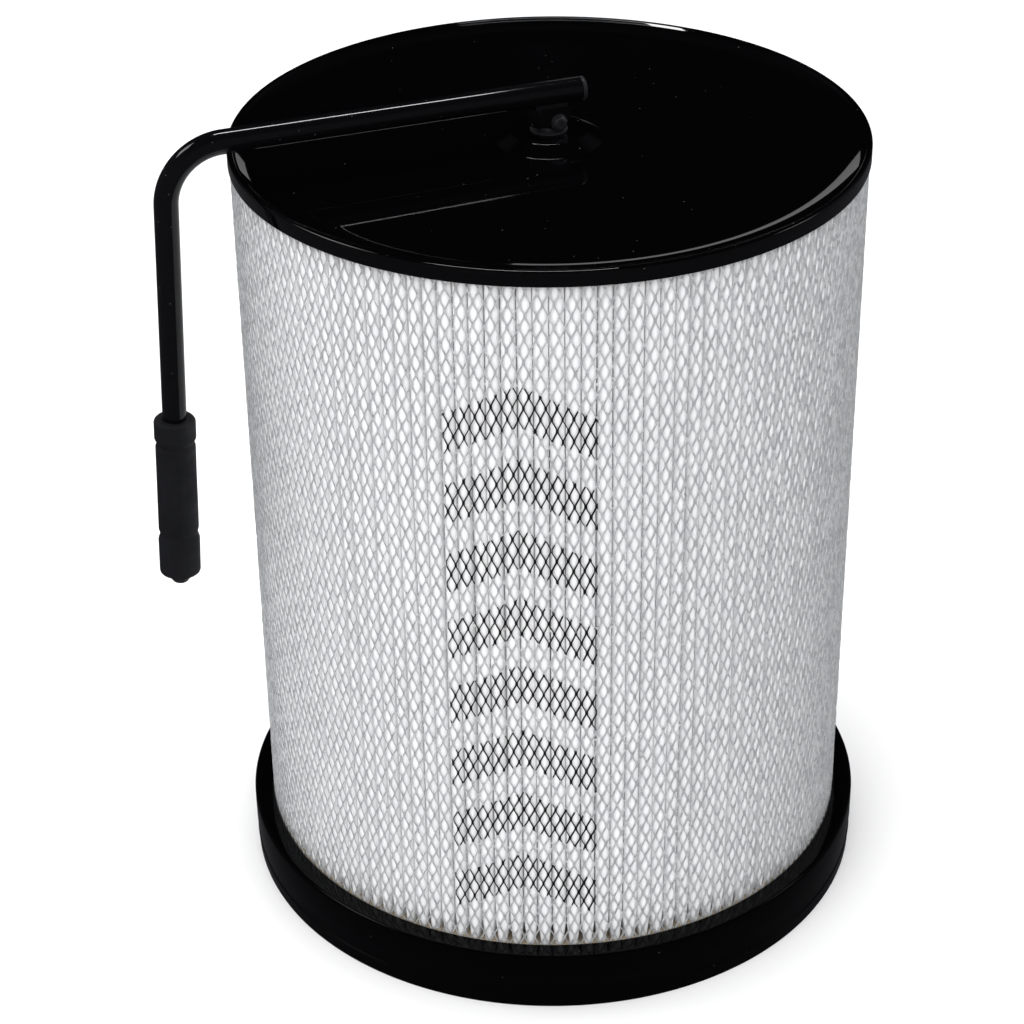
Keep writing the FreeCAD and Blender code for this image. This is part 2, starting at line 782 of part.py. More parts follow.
def crank_bracket():
    def plan(wall):
        half = ear_outer - wall
        bend = bracket_bend - wall
        left = -bracket_left + wall
        bottom = pivot_height - 2 * ear_end_radius
        height = bracket_top - bottom - (bracket_web if wall else 0)
        block = box(left, bracket_right + 2 * wall, -half, half, bottom, bottom + height)
        upright = [edge for edge in block.Edges
                   if edge.BoundBox.ZLength > height / 2 and edge.BoundBox.XMax < left + 1]
        return block.makeFillet(bend, upright)

    r = ear_end_radius
    heel_bottom = pivot_height - r + bracket_step
    heel_turn = math.radians(ear_heel_turn)
    toe_turn = math.radians(ear_toe_turn)
    side = plate([
        (-bracket_left, bracket_top),
        (-bracket_left, heel_bottom),
        (pivot_offset - bracket_toe, heel_bottom),
        (pivot_offset - r * math.sin(heel_turn), pivot_height - r * math.cos(heel_turn)),
        ("arc", pivot_offset + r * math.sin(toe_turn), pivot_height - r * math.cos(toe_turn)),
        (pivot_offset + r, pivot_height),
        (bracket_right, bracket_top - bracket_toe_height),
        (bracket_right, bracket_top),
    ], -ear_outer, ear_outer)
    body = plan(0).cut(plan(bracket_sheet)).common(side)
    hole = cylinder(pivot_bolt_radius + running_clearance, 2 * ear_outer,
                    (pivot_offset, -ear_outer, pivot_height), Y)
    body = body.cut(hole)
    start = -bracket_left + weld_inset
    length = bracket_left + bracket_right - 2 * weld_inset
    clear_of_tube = cylinder(tube_radius + running_clearance, length + 2, (start - 1, 0, tube_height), X)
    for side_sign in (-1, 1):
        section = (
            (weld_foot, bracket_top),
            (weld_foot + 2 * weld_leg, bracket_top),
            (weld_foot + 1.6 * weld_leg, bracket_top + weld_leg),
        )
        points = [Vector(start, side_sign * y, z) for y, z in section]
        weld = Part.Face(Part.makePolygon(points + [points[0]])).extrude(Vector(length, 0, 0))
        body = body.fuse(weld.cut(clear_of_tube))
    return body


def pivot_bolt():
    head_base = -ear_outer - washer_sheet
    head_face = head_base - bolt_head_height
    tip = ear_outer + washer_sheet + bolt_end
    head = cylinder(bolt_head_radius, bolt_head_height, (pivot_offset, head_face, pivot_height), Y)
    rim = [edge for edge in head.Edges if abs(edge.BoundBox.YMax - head_face) < 0.01]
    head = head.makeFillet(bolt_head_height * 0.6, rim)
    socket = hexagon(socket_flats, 0, socket_depth)
    socket.rotate(Vector(0, 0, 0), X, -90)
    socket.translate(Vector(pivot_offset, head_face, pivot_height))
    shank = cylinder(pivot_bolt_radius, tip - head_base, (pivot_offset, head_base, pivot_height), Y)
    return head.cut(socket).fuse(shank)


def pivot_washers():
    washer = cylinder(washer_radius, washer_sheet, (pivot_offset, 0, pivot_height), Y)
    washer = washer.cut(cylinder(pivot_bolt_radius + bolt_clearance, washer_sheet,
                                 (pivot_offset, 0, pivot_height), Y))
    return group([moved(washer, y=-ear_outer - washer_sheet), moved(washer, y=ear_outer)])


def pivot_nut():
    nut = hexagon(nut_flats, 0, nut_height)
    nut = nut.cut(cylinder(pivot_bolt_radius + running_clearance, nut_height))
    nut.rotate(Vector(0, 0, 0), X, -90)
    nut.translate(Vector(pivot_offset, ear_outer + washer_sheet, pivot_height))
    return nut


# --- Writing the nodes -----------------------------------------------------------------------------
nodes = {
    "base_collar": base_collar(),
    "base_seal": base_seal(),
    "crossbar": crossbar(),
    "crossbar_bolts": crossbar_bolts(),
    "crossbar_nuts": crossbar_nuts(),
    "lower_housing": lower_housing(),
    "housing_bolts": housing_bolts(),
    "housing_nuts": housing_nuts(),
    "lower_bush": lower_bush(),
    "bottom_potting": bottom_potting(),
    "pleated_media": pleated_media(),
    "spacer_beads": spacer_beads(),
    "outer_screen": outer_screen(),
    "top_potting": top_potting(),
    "lid": lid(),
    "hub_plate": hub_plate(),
    "upper_bush": upper_bush(),
    "bush_washer": bush_washer(),
    "bush_nut": bush_nut(),
    "agitator_shaft": agitator_shaft(),
    "retaining_ring": retaining_ring(),
    "shaft_collar": shaft_collar(),
    "collar_screw": collar_screw(),
    "lower_paddle_arm": paddle_arm(lower_hub_height),
    "upper_paddle_arm": paddle_arm(upper_hub_height),
    "hub_screws": hub_screws(),
    "arm_bolts": arm_bolts(),
    "blade_screws": blade_screws(),
    "crank_arm": crank_arm(),
    "tube_plug": tube_plug(),
    "hand_grip": hand_grip(),
    "grip_cap": grip_cap(),
    "crank_bracket": crank_bracket(),
    "pivot_bolt": pivot_bolt(),
    "pivot_washers": pivot_washers(),
    "pivot_nut": pivot_nut(),
}
for name, side in (("left", -1), ("right", 1)):
    nodes["paddle_bar_" + name] = paddle_bar(side)
    nodes["wiper_blade_" + name] = wiper_blade(side)
    nodes["clamp_strip_" + name] = clamp_strip(side)

os.makedirs("parts", exist_ok=True)
for name, shape in nodes.items():
    if not shape.isValid():
        raise ValueError(name + " is not a valid shape")
    shape.exportStep("parts/" + name + ".step")
    bounds = shape.BoundBox
    print("%-20s solids %2d volume %12.1f  x %8.1f %8.1f  y %8.1f %8.1f  z %7.1f %7.1f" % (
        name, len(shape.Solids), shape.Volume, bounds.XMin, bounds.XMax, bounds.YMin, bounds.YMax,
        bounds.ZMin, bounds.ZMax))
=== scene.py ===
import json
import math
import random

import bmesh
import bpy
import numpy as np
from mathutils import Matrix, Vector

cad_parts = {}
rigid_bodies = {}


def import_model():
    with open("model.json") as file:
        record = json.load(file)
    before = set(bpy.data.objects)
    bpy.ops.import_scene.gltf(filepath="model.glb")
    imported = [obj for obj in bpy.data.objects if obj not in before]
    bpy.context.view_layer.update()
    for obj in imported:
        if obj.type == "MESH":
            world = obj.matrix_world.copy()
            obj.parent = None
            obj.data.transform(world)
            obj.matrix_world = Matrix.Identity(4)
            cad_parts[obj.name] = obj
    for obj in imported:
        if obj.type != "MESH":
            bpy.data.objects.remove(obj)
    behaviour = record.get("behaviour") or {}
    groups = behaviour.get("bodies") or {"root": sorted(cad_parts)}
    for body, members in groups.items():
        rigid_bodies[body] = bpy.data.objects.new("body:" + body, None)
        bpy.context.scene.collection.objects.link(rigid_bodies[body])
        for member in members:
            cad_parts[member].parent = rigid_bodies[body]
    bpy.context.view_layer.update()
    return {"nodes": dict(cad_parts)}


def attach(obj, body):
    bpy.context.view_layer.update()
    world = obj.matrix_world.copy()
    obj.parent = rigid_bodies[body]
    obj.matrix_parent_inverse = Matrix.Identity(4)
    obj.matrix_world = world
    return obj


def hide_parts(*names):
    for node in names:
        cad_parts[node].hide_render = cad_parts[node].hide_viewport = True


for leftover in list(bpy.data.objects):
    bpy.data.objects.remove(leftover)

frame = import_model()
nodes = frame["nodes"]
scene = bpy.context.scene
mm = 0.001
print("frame loaded,", len(nodes), "nodes")


# Mesh helpers. Sizes in the dictionaries are millimetres.

def addPiece(name, mesh, body, sharpAngle=35):
    mesh.polygons.foreach_set("use_smooth", [True] * len(mesh.polygons))
    if sharpAngle:
        mesh.set_sharp_from_angle(angle=math.radians(sharpAngle))
    piece = bpy.data.objects.new(name, mesh)
    scene.collection.objects.link(piece)
    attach(piece, body)
    return piece


def meshFrom(name, verts, faces, tidy=True):
    mesh = bpy.data.meshes.new(name)
    mesh.from_pydata([tuple(v) for v in verts], [], faces)
    if tidy:
        work = bmesh.new()
        work.from_mesh(mesh)
        bmesh.ops.remove_doubles(work, verts=work.verts, dist=1e-6)
        bmesh.ops.recalc_face_normals(work, faces=work.faces)
        work.to_mesh(mesh)
        work.free()
    mesh.update()
    return mesh


def softened(points, steps=4, soft=0.3):
    # Each corner of a closed outline is (r, z) or (r, z, fillet); without a fillet it gets the soft one.
    line = []
    count = len(points)
    for k, point in enumerate(points):
        here = np.array(point[:2], float)
        before = np.array(points[k - 1][:2], float)
        after = np.array(points[(k + 1) % count][:2], float)
        fillet = point[2] if len(point) > 2 else soft
        a, b = before - here, after - here
        la, lb = np.linalg.norm(a), np.linalg.norm(b)
        a, b = a / la, b / lb
        turn = math.pi - math.acos(max(-1.0, min(1.0, float(a @ b))))
        if fillet <= 0 or turn < 0.05:
            line.append(tuple(here))
            continue
        reach = min(fillet * math.tan(turn / 2), 0.48 * la, 0.48 * lb)
        radius = reach / math.tan(turn / 2)
        centre = here + (a + b) / np.linalg.norm(a + b) * radius / math.cos(turn / 2)
        start, end = here + a * reach - centre, here + b * reach - centre
        for s in range(steps + 1):
            t = s / steps
            mix = (math.sin((1 - t) * turn) * start + math.sin(t * turn) * end) / math.sin(turn)
            line.append(tuple(centre + mix))
    return line


def latheMesh(name, outline, steps, ripple=None):
    # ripple(angle, r, z) may move a point in or out, for parts that aren't perfectly round.
    verts, faces = [], []
    count = len(outline)
    for s in range(steps):
        angle = 2 * math.pi * s / steps
        for r, z in outline:
            if ripple:
                r, z = ripple(angle, r, z)
            verts.append((r * mm * math.cos(angle), r * mm * math.sin(angle), z * mm))
    for s in range(steps):
        t = (s + 1) % steps
        for k in range(count):
            j = (k + 1) % count
            faces.append((s * count + k, t * count + k, t * count + j, s * count + j))
    return meshFrom(name, verts, faces)


def sweepMesh(name, path, radiusAt, sides=64):
    # Path in the XZ plane. radiusAt(k, angle) gives the section; both ends are closed.
    verts, faces = [], []
    for k, point in enumerate(path):
        ahead = Vector(path[min(k + 1, len(path) - 1)]) - Vector(path[max(k - 1, 0)])
        tangent = ahead.normalized()
        side = Vector((0, 1, 0))
        up = side.cross(tangent)
        for s in range(sides):
            angle = 2 * math.pi * s / sides
            r = radiusAt(k, angle)
            verts.append((Vector(point) + side * (r * math.sin(angle)) + up * (r * math.cos(angle))) * mm)
    for k in range(len(path) - 1):
        for s in range(sides):
            t = (s + 1) % sides
            faces.append((k * sides + s, k * sides + t, (k + 1) * sides + t, (k + 1) * sides + s))
    faces.append(tuple(range(sides)))
    faces.append(tuple((len(path) - 1) * sides + s for s in range(sides)))
    return meshFrom(name, verts, faces)


def smoothNoise(seed, waves, low, high):
    # Sum of a few cosines round the axis, the same on every run.
    dice = random.Random(seed)
    terms = [(dice.randint(low, high), dice.uniform(0, 6.28), dice.uniform(0.4, 1.0)) for _ in range(waves)]
    total = sum(t[2] for t in terms)
    return lambda angle, z=0.0: sum(
        w * math.cos(n * angle + p + 0.011 * n * z) for n, p, w in terms) / total


# Shader helpers

def newMaterial(name, **values):
    material = bpy.data.materials.new(name)
    material.use_nodes = True
    shader = material.node_tree.nodes["Principled BSDF"]
    for socket, value in values.items():
        shader.inputs[socket.replace("_", " ")].default_value = value
    return material, material.node_tree, shader


def addNode(tree, kind, links=None, **settings):
    node = tree.nodes.new(kind)
    for key, value in settings.items():
        setattr(node, key, value)
    for socket, value in (links or {}).items():
        if isinstance(value, bpy.types.NodeSocket):
            tree.links.new(value, node.inputs[socket])
        else:
            node.inputs[socket].default_value = value
    return node


def newGroup(name, inputs, outputs):
    tree = bpy.data.node_groups.new(name, "ShaderNodeTree")
    for label, kind, value in inputs:
        socket = tree.interface.new_socket(name=label, in_out="INPUT", socket_type=kind)
        socket.default_value = value
    for label, kind in outputs:
        tree.interface.new_socket(name=label, in_out="OUTPUT", socket_type=kind)
    return tree, tree.nodes.new("NodeGroupInput"), tree.nodes.new("NodeGroupOutput")


def useGroup(tree, group, **values):
    node = tree.nodes.new("ShaderNodeGroup")
    node.node_tree = group
    for label, value in values.items():
        socket = node.inputs[label.replace("_", " ")]
        if isinstance(value, bpy.types.NodeSocket):
            tree.links.new(value, socket)
        else:
            socket.default_value = value
    return node


def maths(tree, operation, a, b=0.0, clamp=False):
    return addNode(tree, "ShaderNodeMath", {0: a, 1: b}, operation=operation, use_clamp=clamp).outputs[0]


def blendColours(tree, factor, a, b):
    node = addNode(tree, "ShaderNodeMix", data_type="RGBA")
    for index, value in ((0, factor), (6, a), (7, b)):
        if isinstance(value, bpy.types.NodeSocket):
            tree.links.new(value, node.inputs[index])
        else:
            node.inputs[index].default_value = value
    return node.outputs[2]


def addBump(tree, shader, height, strength, distance):
    bump = addNode(tree, "ShaderNodeBump", {"Height": height, "Strength": strength, "Distance": distance})
    tree.links.new(bump.outputs["Normal"], shader.inputs["Normal"])
    return bump


def link(tree, output, shader, socket):
    tree.links.new(output, shader.inputs[socket])


# Shared effects

def makeMottle():
    # Cloudy variation between Low and High.
    tree, given, result = newGroup(
        "mottle",
        [("Scale", "NodeSocketFloat", 20.0), ("Detail", "NodeSocketFloat", 3.0),
         ("Low", "NodeSocketFloat", 0.0), ("High", "NodeSocketFloat", 1.0)],
        [("Value", "NodeSocketFloat")])
    spot = addNode(tree, "ShaderNodeTexCoord").outputs["Object"]
    noise = addNode(tree, "ShaderNodeTexNoise", {
        "Vector": spot, "Scale": given.outputs["Scale"], "Detail": given.outputs["Detail"]})
    spread = addNode(tree, "ShaderNodeMapRange", {
        "Value": noise.outputs["Fac"], "From Min": 0.3, "From Max": 0.7,
        "To Min": given.outputs["Low"], "To Max": given.outputs["High"]})
    tree.links.new(spread.outputs[0], result.inputs["Value"])
    return tree


def makeSpecks():
    # Scattered dust specks: Mask is 1 on a speck.
    tree, given, result = newGroup(
        "dustSpecks",
        [("Scale", "NodeSocketFloat", 120.0), ("Amount", "NodeSocketFloat", 0.1)],
        [("Mask", "NodeSocketFloat")])
    spot = addNode(tree, "ShaderNodeTexCoord").outputs["Object"]
    cells = addNode(tree, "ShaderNodeTexVoronoi", {"Vector": spot, "Scale": given.outputs["Scale"]})
    chosen = addNode(tree, "ShaderNodeSeparateColor", {"Color": cells.outputs["Color"]})
    near = maths(tree, "LESS_THAN", cells.outputs["Distance"], 0.16)
    kept = maths(tree, "LESS_THAN", chosen.outputs[0], given.outputs["Amount"])
    tree.links.new(maths(tree, "MULTIPLY", near, kept), result.inputs["Mask"])
    return tree


def makeEdgeWear():
    # Mask is 1 where an edge has been rubbed.
    tree, given, result = newGroup(
        "edgeWear",
        [("Width", "NodeSocketFloat", 0.0006), ("Breakup", "NodeSocketFloat", 90.0),
         ("Amount", "NodeSocketFloat", 0.5)],
        [("Mask", "NodeSocketFloat")])
    rounded = addNode(tree, "ShaderNodeBevel", {"Radius": given.outputs["Width"]}, samples=4)
    plain = addNode(tree, "ShaderNodeNewGeometry")
    match = addNode(tree, "ShaderNodeVectorMath", {
        0: rounded.outputs["Normal"], 1: plain.outputs["Normal"]}, operation="DOT_PRODUCT")
    edge = maths(tree, "MULTIPLY", maths(tree, "SUBTRACT", 1.0, match.outputs["Value"]), 6.0, clamp=True)
    spot = addNode(tree, "ShaderNodeTexCoord").outputs["Object"]
    noise = addNode(tree, "ShaderNodeTexNoise", {"Vector": spot, "Scale": given.outputs["Breakup"]})
    broken = maths(tree, "GREATER_THAN", noise.outputs["Fac"], 0.52)
    worn = maths(tree, "MULTIPLY", maths(tree, "MULTIPLY", edge, broken), given.outputs["Amount"], clamp=True)
    tree.links.new(worn, result.inputs["Mask"])
    return tree


def makeGrain():
    # Fine pores or fibres as a height; Stretch lengthens them up the axis.
    tree, given, result = newGroup(
        "fineGrain",
        [("Scale", "NodeSocketFloat", 900.0), ("Stretch", "NodeSocketFloat", 1.0)],
        [("Height", "NodeSocketFloat")])
    spot = addNode(tree, "ShaderNodeTexCoord").outputs["Object"]
    squeeze = addNode(tree, "ShaderNodeCombineXYZ", {
        "X": 1.0, "Y": 1.0, "Z": maths(tree, "DIVIDE", 1.0, given.outputs["Stretch"])})
    placed = addNode(tree, "ShaderNodeVectorMath", {0: spot, 1: squeeze.outputs[0]}, operation="MULTIPLY")
    noise = addNode(tree, "ShaderNodeTexNoise", {
        "Vector": placed.outputs[0], "Scale": given.outputs["Scale"], "Detail": 4.0, "Roughness": 0.6})
    tree.links.new(noise.outputs["Fac"], result.inputs["Height"])
    return tree


mottle, dustSpecks, edgeWear, fineGrain = makeMottle(), makeSpecks(), makeEdgeWear(), makeGrain()
print("shared effects made")

# Finishes

enamel = {
    "colour": (0.0007, 0.0007, 0.0009, 1),
    "smooth": 0.02, "dull": 0.04,
    "peelScale": 130.0, "peelHeight": 0.000004,
    "shine": 0.5, "specks": 0.008, "dust": (0.05, 0.05, 0.05, 1),
}


def makeEnamel(name, look):
    material, tree, shader = newMaterial(name, Specular_IOR_Level=look["shine"])
    clouds = useGroup(tree, mottle, Scale=14.0, Low=look["smooth"], High=look["dull"])
    specks = useGroup(tree, dustSpecks, Scale=330.0, Amount=look["specks"])
    worn = useGroup(tree, edgeWear, Width=0.0006, Breakup=60.0, Amount=0.25)
    dusty = blendColours(tree, specks.outputs["Mask"], look["colour"], look["dust"])
    link(tree, blendColours(tree, worn.outputs["Mask"], dusty, (0.004, 0.004, 0.005, 1)), shader, "Base Color")
    rough = maths(tree, "ADD", clouds.outputs["Value"], maths(tree, "MULTIPLY", specks.outputs["Mask"], 0.5))
    link(tree, rough, shader, "Roughness")
    peel = useGroup(tree, fineGrain, Scale=look["peelScale"])
    addBump(tree, shader, peel.outputs["Height"], 1.0, look["peelHeight"])
    return material


blackEnamel = makeEnamel("blackEnamel", enamel)
collarEnamel = makeEnamel("collarEnamel", dict(enamel, shine=0.10, smooth=0.05, dull=0.10))
tubeEnamel = makeEnamel("tubeEnamel", dict(
    enamel, colour=(0.0016, 0.0016, 0.0020, 1), smooth=0.07, dull=0.12, peelScale=220.0, specks=0.03))


def makeMetal(name, colour, low, high, scale=300.0, stretch=1.0, worn=0.0, height=0.00001):
    material, tree, shader = newMaterial(name, Metallic=1.0)
    clouds = useGroup(tree, mottle, Scale=70.0, Low=low, High=high)
    link(tree, clouds.outputs["Value"], shader, "Roughness")
    shade = useGroup(tree, mottle, Scale=45.0, Detail=5.0, Low=0.0, High=1.0)
    dull = (colour[0] * 0.72, colour[1] * 0.72, colour[2] * 0.74, 1)
    tinted = blendColours(tree, shade.outputs["Value"], dull, (*colour, 1))
    if worn:
        rubbed = useGroup(tree, edgeWear, Width=0.0005, Amount=worn)
        tinted = blendColours(tree, rubbed.outputs["Mask"], tinted, (0.6, 0.6, 0.6, 1))
    link(tree, tinted, shader, "Base Color")
    grain = useGroup(tree, fineGrain, Scale=scale, Stretch=stretch)
    addBump(tree, shader, grain.outputs["Height"], 1.0, height)
    return material


zincSteel = makeMetal("zincSteel", (0.62, 0.62, 0.58), 0.28, 0.46, worn=0.3)
shaftSteel = makeMetal("shaftSteel", (0.50, 0.50, 0.52), 0.16, 0.30, scale=500.0, stretch=0.05)
bushBronze = makeMetal("bushBronze", (0.56, 0.36, 0.17), 0.25, 0.42)
blackFastener = makeMetal("blackFastener", (0.34, 0.34, 0.36), 0.26, 0.40, worn=0.35)


def makeRubber(name, colour, low, high, scale, height):
    material, tree, shader = newMaterial(name)
    clouds = useGroup(tree, mottle, Scale=60.0, Low=low, High=high)
    link(tree, clouds.outputs["Value"], shader, "Roughness")
    shade = useGroup(tree, mottle, Scale=25.0, Detail=4.0)
    lighter = tuple(min(1.0, c * 1.8) for c in colour) + (1,)
    link(tree, blendColours(tree, shade.outputs["Value"], (*colour, 1), lighter), shader, "Base Color")
    grain = useGroup(tree, fineGrain, Scale=scale)
    addBump(tree, shader, grain.outputs["Height"], 1.0, height)
    return material


spongeSeal = makeRubber("spongeSeal", (0.010, 0.010, 0.010), 0.75, 0.95, 700.0, 0.0002)
wiperRubber = makeRubber("wiperRubber", (0.016, 0.016, 0.017), 0.45, 0.65, 500.0, 0.00004)
gripFoam = makeRubber("gripFoam", (0.0028, 0.0030, 0.0048), 0.62, 0.82, 1500.0, 0.00012)
mouldedPlastic = makeRubber("mouldedPlastic", (0.007, 0.007, 0.008), 0.28, 0.42, 900.0, 0.00002)

resin = {"colour": (0.36, 0.29, 0.20, 1), "pale": (0.50, 0.43, 0.32, 1)}


def makeResin():
    material, tree, shader = newMaterial("pottingResin", Subsurface_Weight=0.05)
    shade = useGroup(tree, mottle, Scale=30.0, Detail=5.0)
    link(tree, blendColours(tree, shade.outputs["Value"], resin["colour"], resin["pale"]), shader, "Base Color")
    link(tree, useGroup(tree, mottle, Scale=80.0, Low=0.25, High=0.5).outputs["Value"], shader, "Roughness")
    addBump(tree, shader, useGroup(tree, fineGrain, Scale=110.0).outputs["Height"], 1.0, 0.0006)
    return material


pottingResin = makeResin()

fabric = {"white": (0.81, 0.812, 0.815, 1), "shade": (0.74, 0.743, 0.75, 1), "fibreScale": 1400.0}


def makeFabric():
    material, tree, shader = newMaterial("spunFabric", Specular_IOR_Level=0.25)
    shade = useGroup(tree, mottle, Scale=55.0, Detail=6.0)
    link(tree, blendColours(tree, shade.outputs["Value"], fabric["shade"], fabric["white"]), shader, "Base Color")
    link(tree, useGroup(tree, mottle, Scale=90.0, Low=0.65, High=0.85).outputs["Value"], shader, "Roughness")
    fibres = useGroup(tree, fineGrain, Scale=fabric["fibreScale"], Stretch=3.0)
    addBump(tree, shader, fibres.outputs["Height"], 0.8, 0.00025)
    return material


spunFabric = makeFabric()
hotMelt = makeRubber("hotMelt", (0.44, 0.44, 0.42), 0.25, 0.4, 160.0, 0.0002)

galvanised = {"bright": (0.66, 0.67, 0.68, 1), "dull": (0.43, 0.44, 0.455, 1), "spangle": 260.0, "metal": 0.42}

# A column of chevrons, sprayed in black through a stencil. The angle is in degrees round the axis from +X.
printed = {
    "centreAngle": -115.5, "halfWidth": 58.0, "bottom": 112.0, "top": 598.0,
    "pitch": 60.75, "share": 0.56, "slope": 0.50, "ink": (0.004, 0.004, 0.005, 1),
    "radius": 250.0, "halfCells": 17, "margin": 45.0,
}


def makeGalvanised(name, inked):
    material, tree, shader = newMaterial(name)
    spot = addNode(tree, "ShaderNodeTexCoord").outputs["Object"]
    spangle = addNode(tree, "ShaderNodeTexVoronoi", {"Vector": spot, "Scale": galvanised["spangle"]})
    flake = addNode(tree, "ShaderNodeSeparateColor", {"Color": spangle.outputs["Color"]}).outputs[0]
    colour = blendColours(tree, flake, galvanised["dull"], galvanised["bright"])
    rough = addNode(tree, "ShaderNodeMapRange", {"Value": flake, "To Min": 0.34, "To Max": 0.52}).outputs[0]
    if not inked:
        link(tree, colour, shader, "Base Color")
        link(tree, rough, shader, "Roughness")
        shader.inputs["Metallic"].default_value = galvanised["metal"]
        return material
    place = addNode(tree, "ShaderNodeSeparateXYZ", {"Vector": spot})
    turn = maths(tree, "ARCTAN2", place.outputs["Y"], place.outputs["X"])
    fromCentre = maths(tree, "SUBTRACT", turn, math.radians(printed["centreAngle"]))
    across = maths(tree, "MULTIPLY", fromCentre, printed["radius"])
    height = maths(tree, "MULTIPLY", place.outputs["Z"], 1000.0)
    inWidth = maths(tree, "LESS_THAN", maths(tree, "ABSOLUTE", across), printed["halfWidth"])
    leaned = maths(tree, "ADD", height, maths(tree, "MULTIPLY", maths(tree, "ABSOLUTE", across), printed["slope"]))
    row = maths(tree, "DIVIDE", maths(tree, "SUBTRACT", leaned, printed["bottom"]), printed["pitch"])
    inBar = maths(tree, "LESS_THAN", maths(tree, "FRACT", row), printed["share"])
    rows = (printed["top"] - printed["bottom"]) / printed["pitch"]
    inRows = maths(tree, "MULTIPLY", maths(tree, "GREATER_THAN", row, 0.0), maths(tree, "LESS_THAN", row, rows))
    ink = maths(tree, "MULTIPLY", inWidth, maths(tree, "MULTIPLY", inBar, inRows))
    missed = useGroup(tree, mottle, Scale=240.0, Low=0.7, High=3.0)
    ink = maths(tree, "MULTIPLY", ink, maths(tree, "MINIMUM", missed.outputs["Value"], 1.0, clamp=True))
    link(tree, blendColours(tree, ink, colour, printed["ink"]), shader, "Base Color")
    link(tree, maths(tree, "MULTIPLY_ADD", ink, 0.12), shader, "Roughness")
    link(tree, maths(tree, "MULTIPLY", maths(tree, "SUBTRACT", 1.0, ink), galvanised["metal"]), shader, "Metallic")
    return material


plainScreen = makeGalvanised("galvanisedSteel", False)
inkedScreen = makeGalvanised("printedSteel", True)
print("finishes made")

# Lid

lidLook = {
    "skirtRadius": 251.4, "skirtBottom": 651.0, "crestTop": 663.2, "crestRadius": 3.8,
    "panEdge": (244.8, 661.4), "panFlat": (222.0, 657.5), "bossFoot": 43.0, "bossTop": (31.0, 664.8),
    "hole": 12.25, "sheet": 1.2, "segments": 320,
    "crestInner": 246.9, "crestUnder": 247.1, "crestDrop": 0.15, "waveFrom": 50.0, "waveTo": 244.0, "wave": 0.07,
}


def lidOutline(look):
    t = look["sheet"]
    (edgeR, edgeZ), (flatR, flatZ), (bossR, bossZ) = look["panEdge"], look["panFlat"], look["bossTop"]

    def pan(offset, count=14):
        spots = [(flatR + (edgeR - flatR) * k / count, flatZ + (edgeZ - flatZ) * (k / count) ** 2 - offset, 0)
                 for k in range(count)]
        return spots[1:]

    foot = look["bossFoot"]
    return softened([
        (look["skirtRadius"], look["skirtBottom"]),
        (look["skirtRadius"], look["crestTop"], look["crestRadius"]),
        (look["crestInner"], look["crestTop"] - look["crestDrop"], 1.6),
        (edgeR, edgeZ, 1.0),
        *reversed(pan(0)),
        (flatR, flatZ, 0),
        (foot, flatZ, 1.2),
        (bossR, bossZ, 1.2),
        (look["hole"], bossZ),
        (look["hole"], bossZ - t),
        (bossR - t / 2, bossZ - t, 3.0),
        (foot - t / 2, flatZ - t, 4.0),
        (flatR, flatZ - t, 0),
        *pan(t),
        (edgeR, edgeZ - t, 0.8),
        (look["crestUnder"], look["crestTop"] - look["crestDrop"] - t, 0.8),
        (look["skirtRadius"] - t, look["crestTop"] - t, look["crestRadius"] - t),
        (look["skirtRadius"] - t, look["skirtBottom"]),
    ], steps=7)


panWave = smoothNoise(5, 6, 2, 7)


def lidRipple(angle, r, z):
    # The pan is pressed sheet, a little uneven; its rim stays true.
    start, end = lidLook["waveFrom"], lidLook["waveTo"]
    if start < r < end:
        fade = math.sin(math.pi * (r - start) / (end - start))
        z += lidLook["wave"] * fade * (panWave(angle, r) + math.cos(r / 17 + 2 * math.sin(angle)))
    return r, z


lid = addPiece("lid_pan", latheMesh("lid_pan", lidOutline(lidLook), lidLook["segments"], lidRipple),
               "canister", 50)
lid.data.materials.append(blackEnamel)
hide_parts("lid")
print("lid made")

# Base collar

collarLook = {
    "bore": 264.4, "joggleHeight": 26.0, "outer": 266.7, "shoulder": 52.5, "shoulderRadius": 3.5,
    "well": 250.3, "wellFloor": 39.5, "wellInner": 196.0, "flangeTop": 54.0, "flange": 178.0,
    "sheet": 1.5, "beadHeight": 11.5, "beadRise": 0.6, "beadHalf": 1.2, "segments": 320,
    "waveFrom": 262.0, "wave": 0.12,
}


def collarOutline(look):
    t = look["sheet"]
    skirt = look["bore"] + t
    bead = [(skirt + look["beadRise"] * math.sin(math.pi * k / 8),
             look["beadHeight"] - look["beadHalf"] * math.cos(math.pi * k / 8), 0) for k in range(9)]
    floor = look["wellFloor"]
    return softened([
        (look["bore"], 0.0), (skirt, 0.0),
        *bead,
        (skirt, look["joggleHeight"] - 1.2, 0.8),
        (look["outer"], look["joggleHeight"], 0.8),
        (look["outer"], look["shoulder"], look["shoulderRadius"]),
        (look["well"], look["shoulder"], 0.6),
        (look["well"], floor),
        (look["wellInner"], floor),
        (look["wellInner"], look["flangeTop"], 0.5),
        (look["flange"], look["flangeTop"]),
        (look["flange"], look["flangeTop"] - t),
        (look["wellInner"] - t, look["flangeTop"] - t),
        (look["wellInner"] - t, floor - t, 0.5),
        (look["well"] + t, floor - t, 0.5),
        (look["well"] + t, look["shoulder"] - t),
        (look["outer"] - t, look["shoulder"] - t, look["shoulderRadius"] - t),
        (look["outer"] - t, look["joggleHeight"] + 0.5, 0.4),
        (look["bore"], look["joggleHeight"], 0.4),
    ], steps=6)


collarWave = smoothNoise(8, 5, 2, 6)


def collarRipple(angle, r, z):
    # The skirt is pressed a little out of round, always inwards.
    if r > collarLook["waveFrom"]:
        r -= collarLook["wave"] * (1 + collarWave(angle, z))
    return r, z


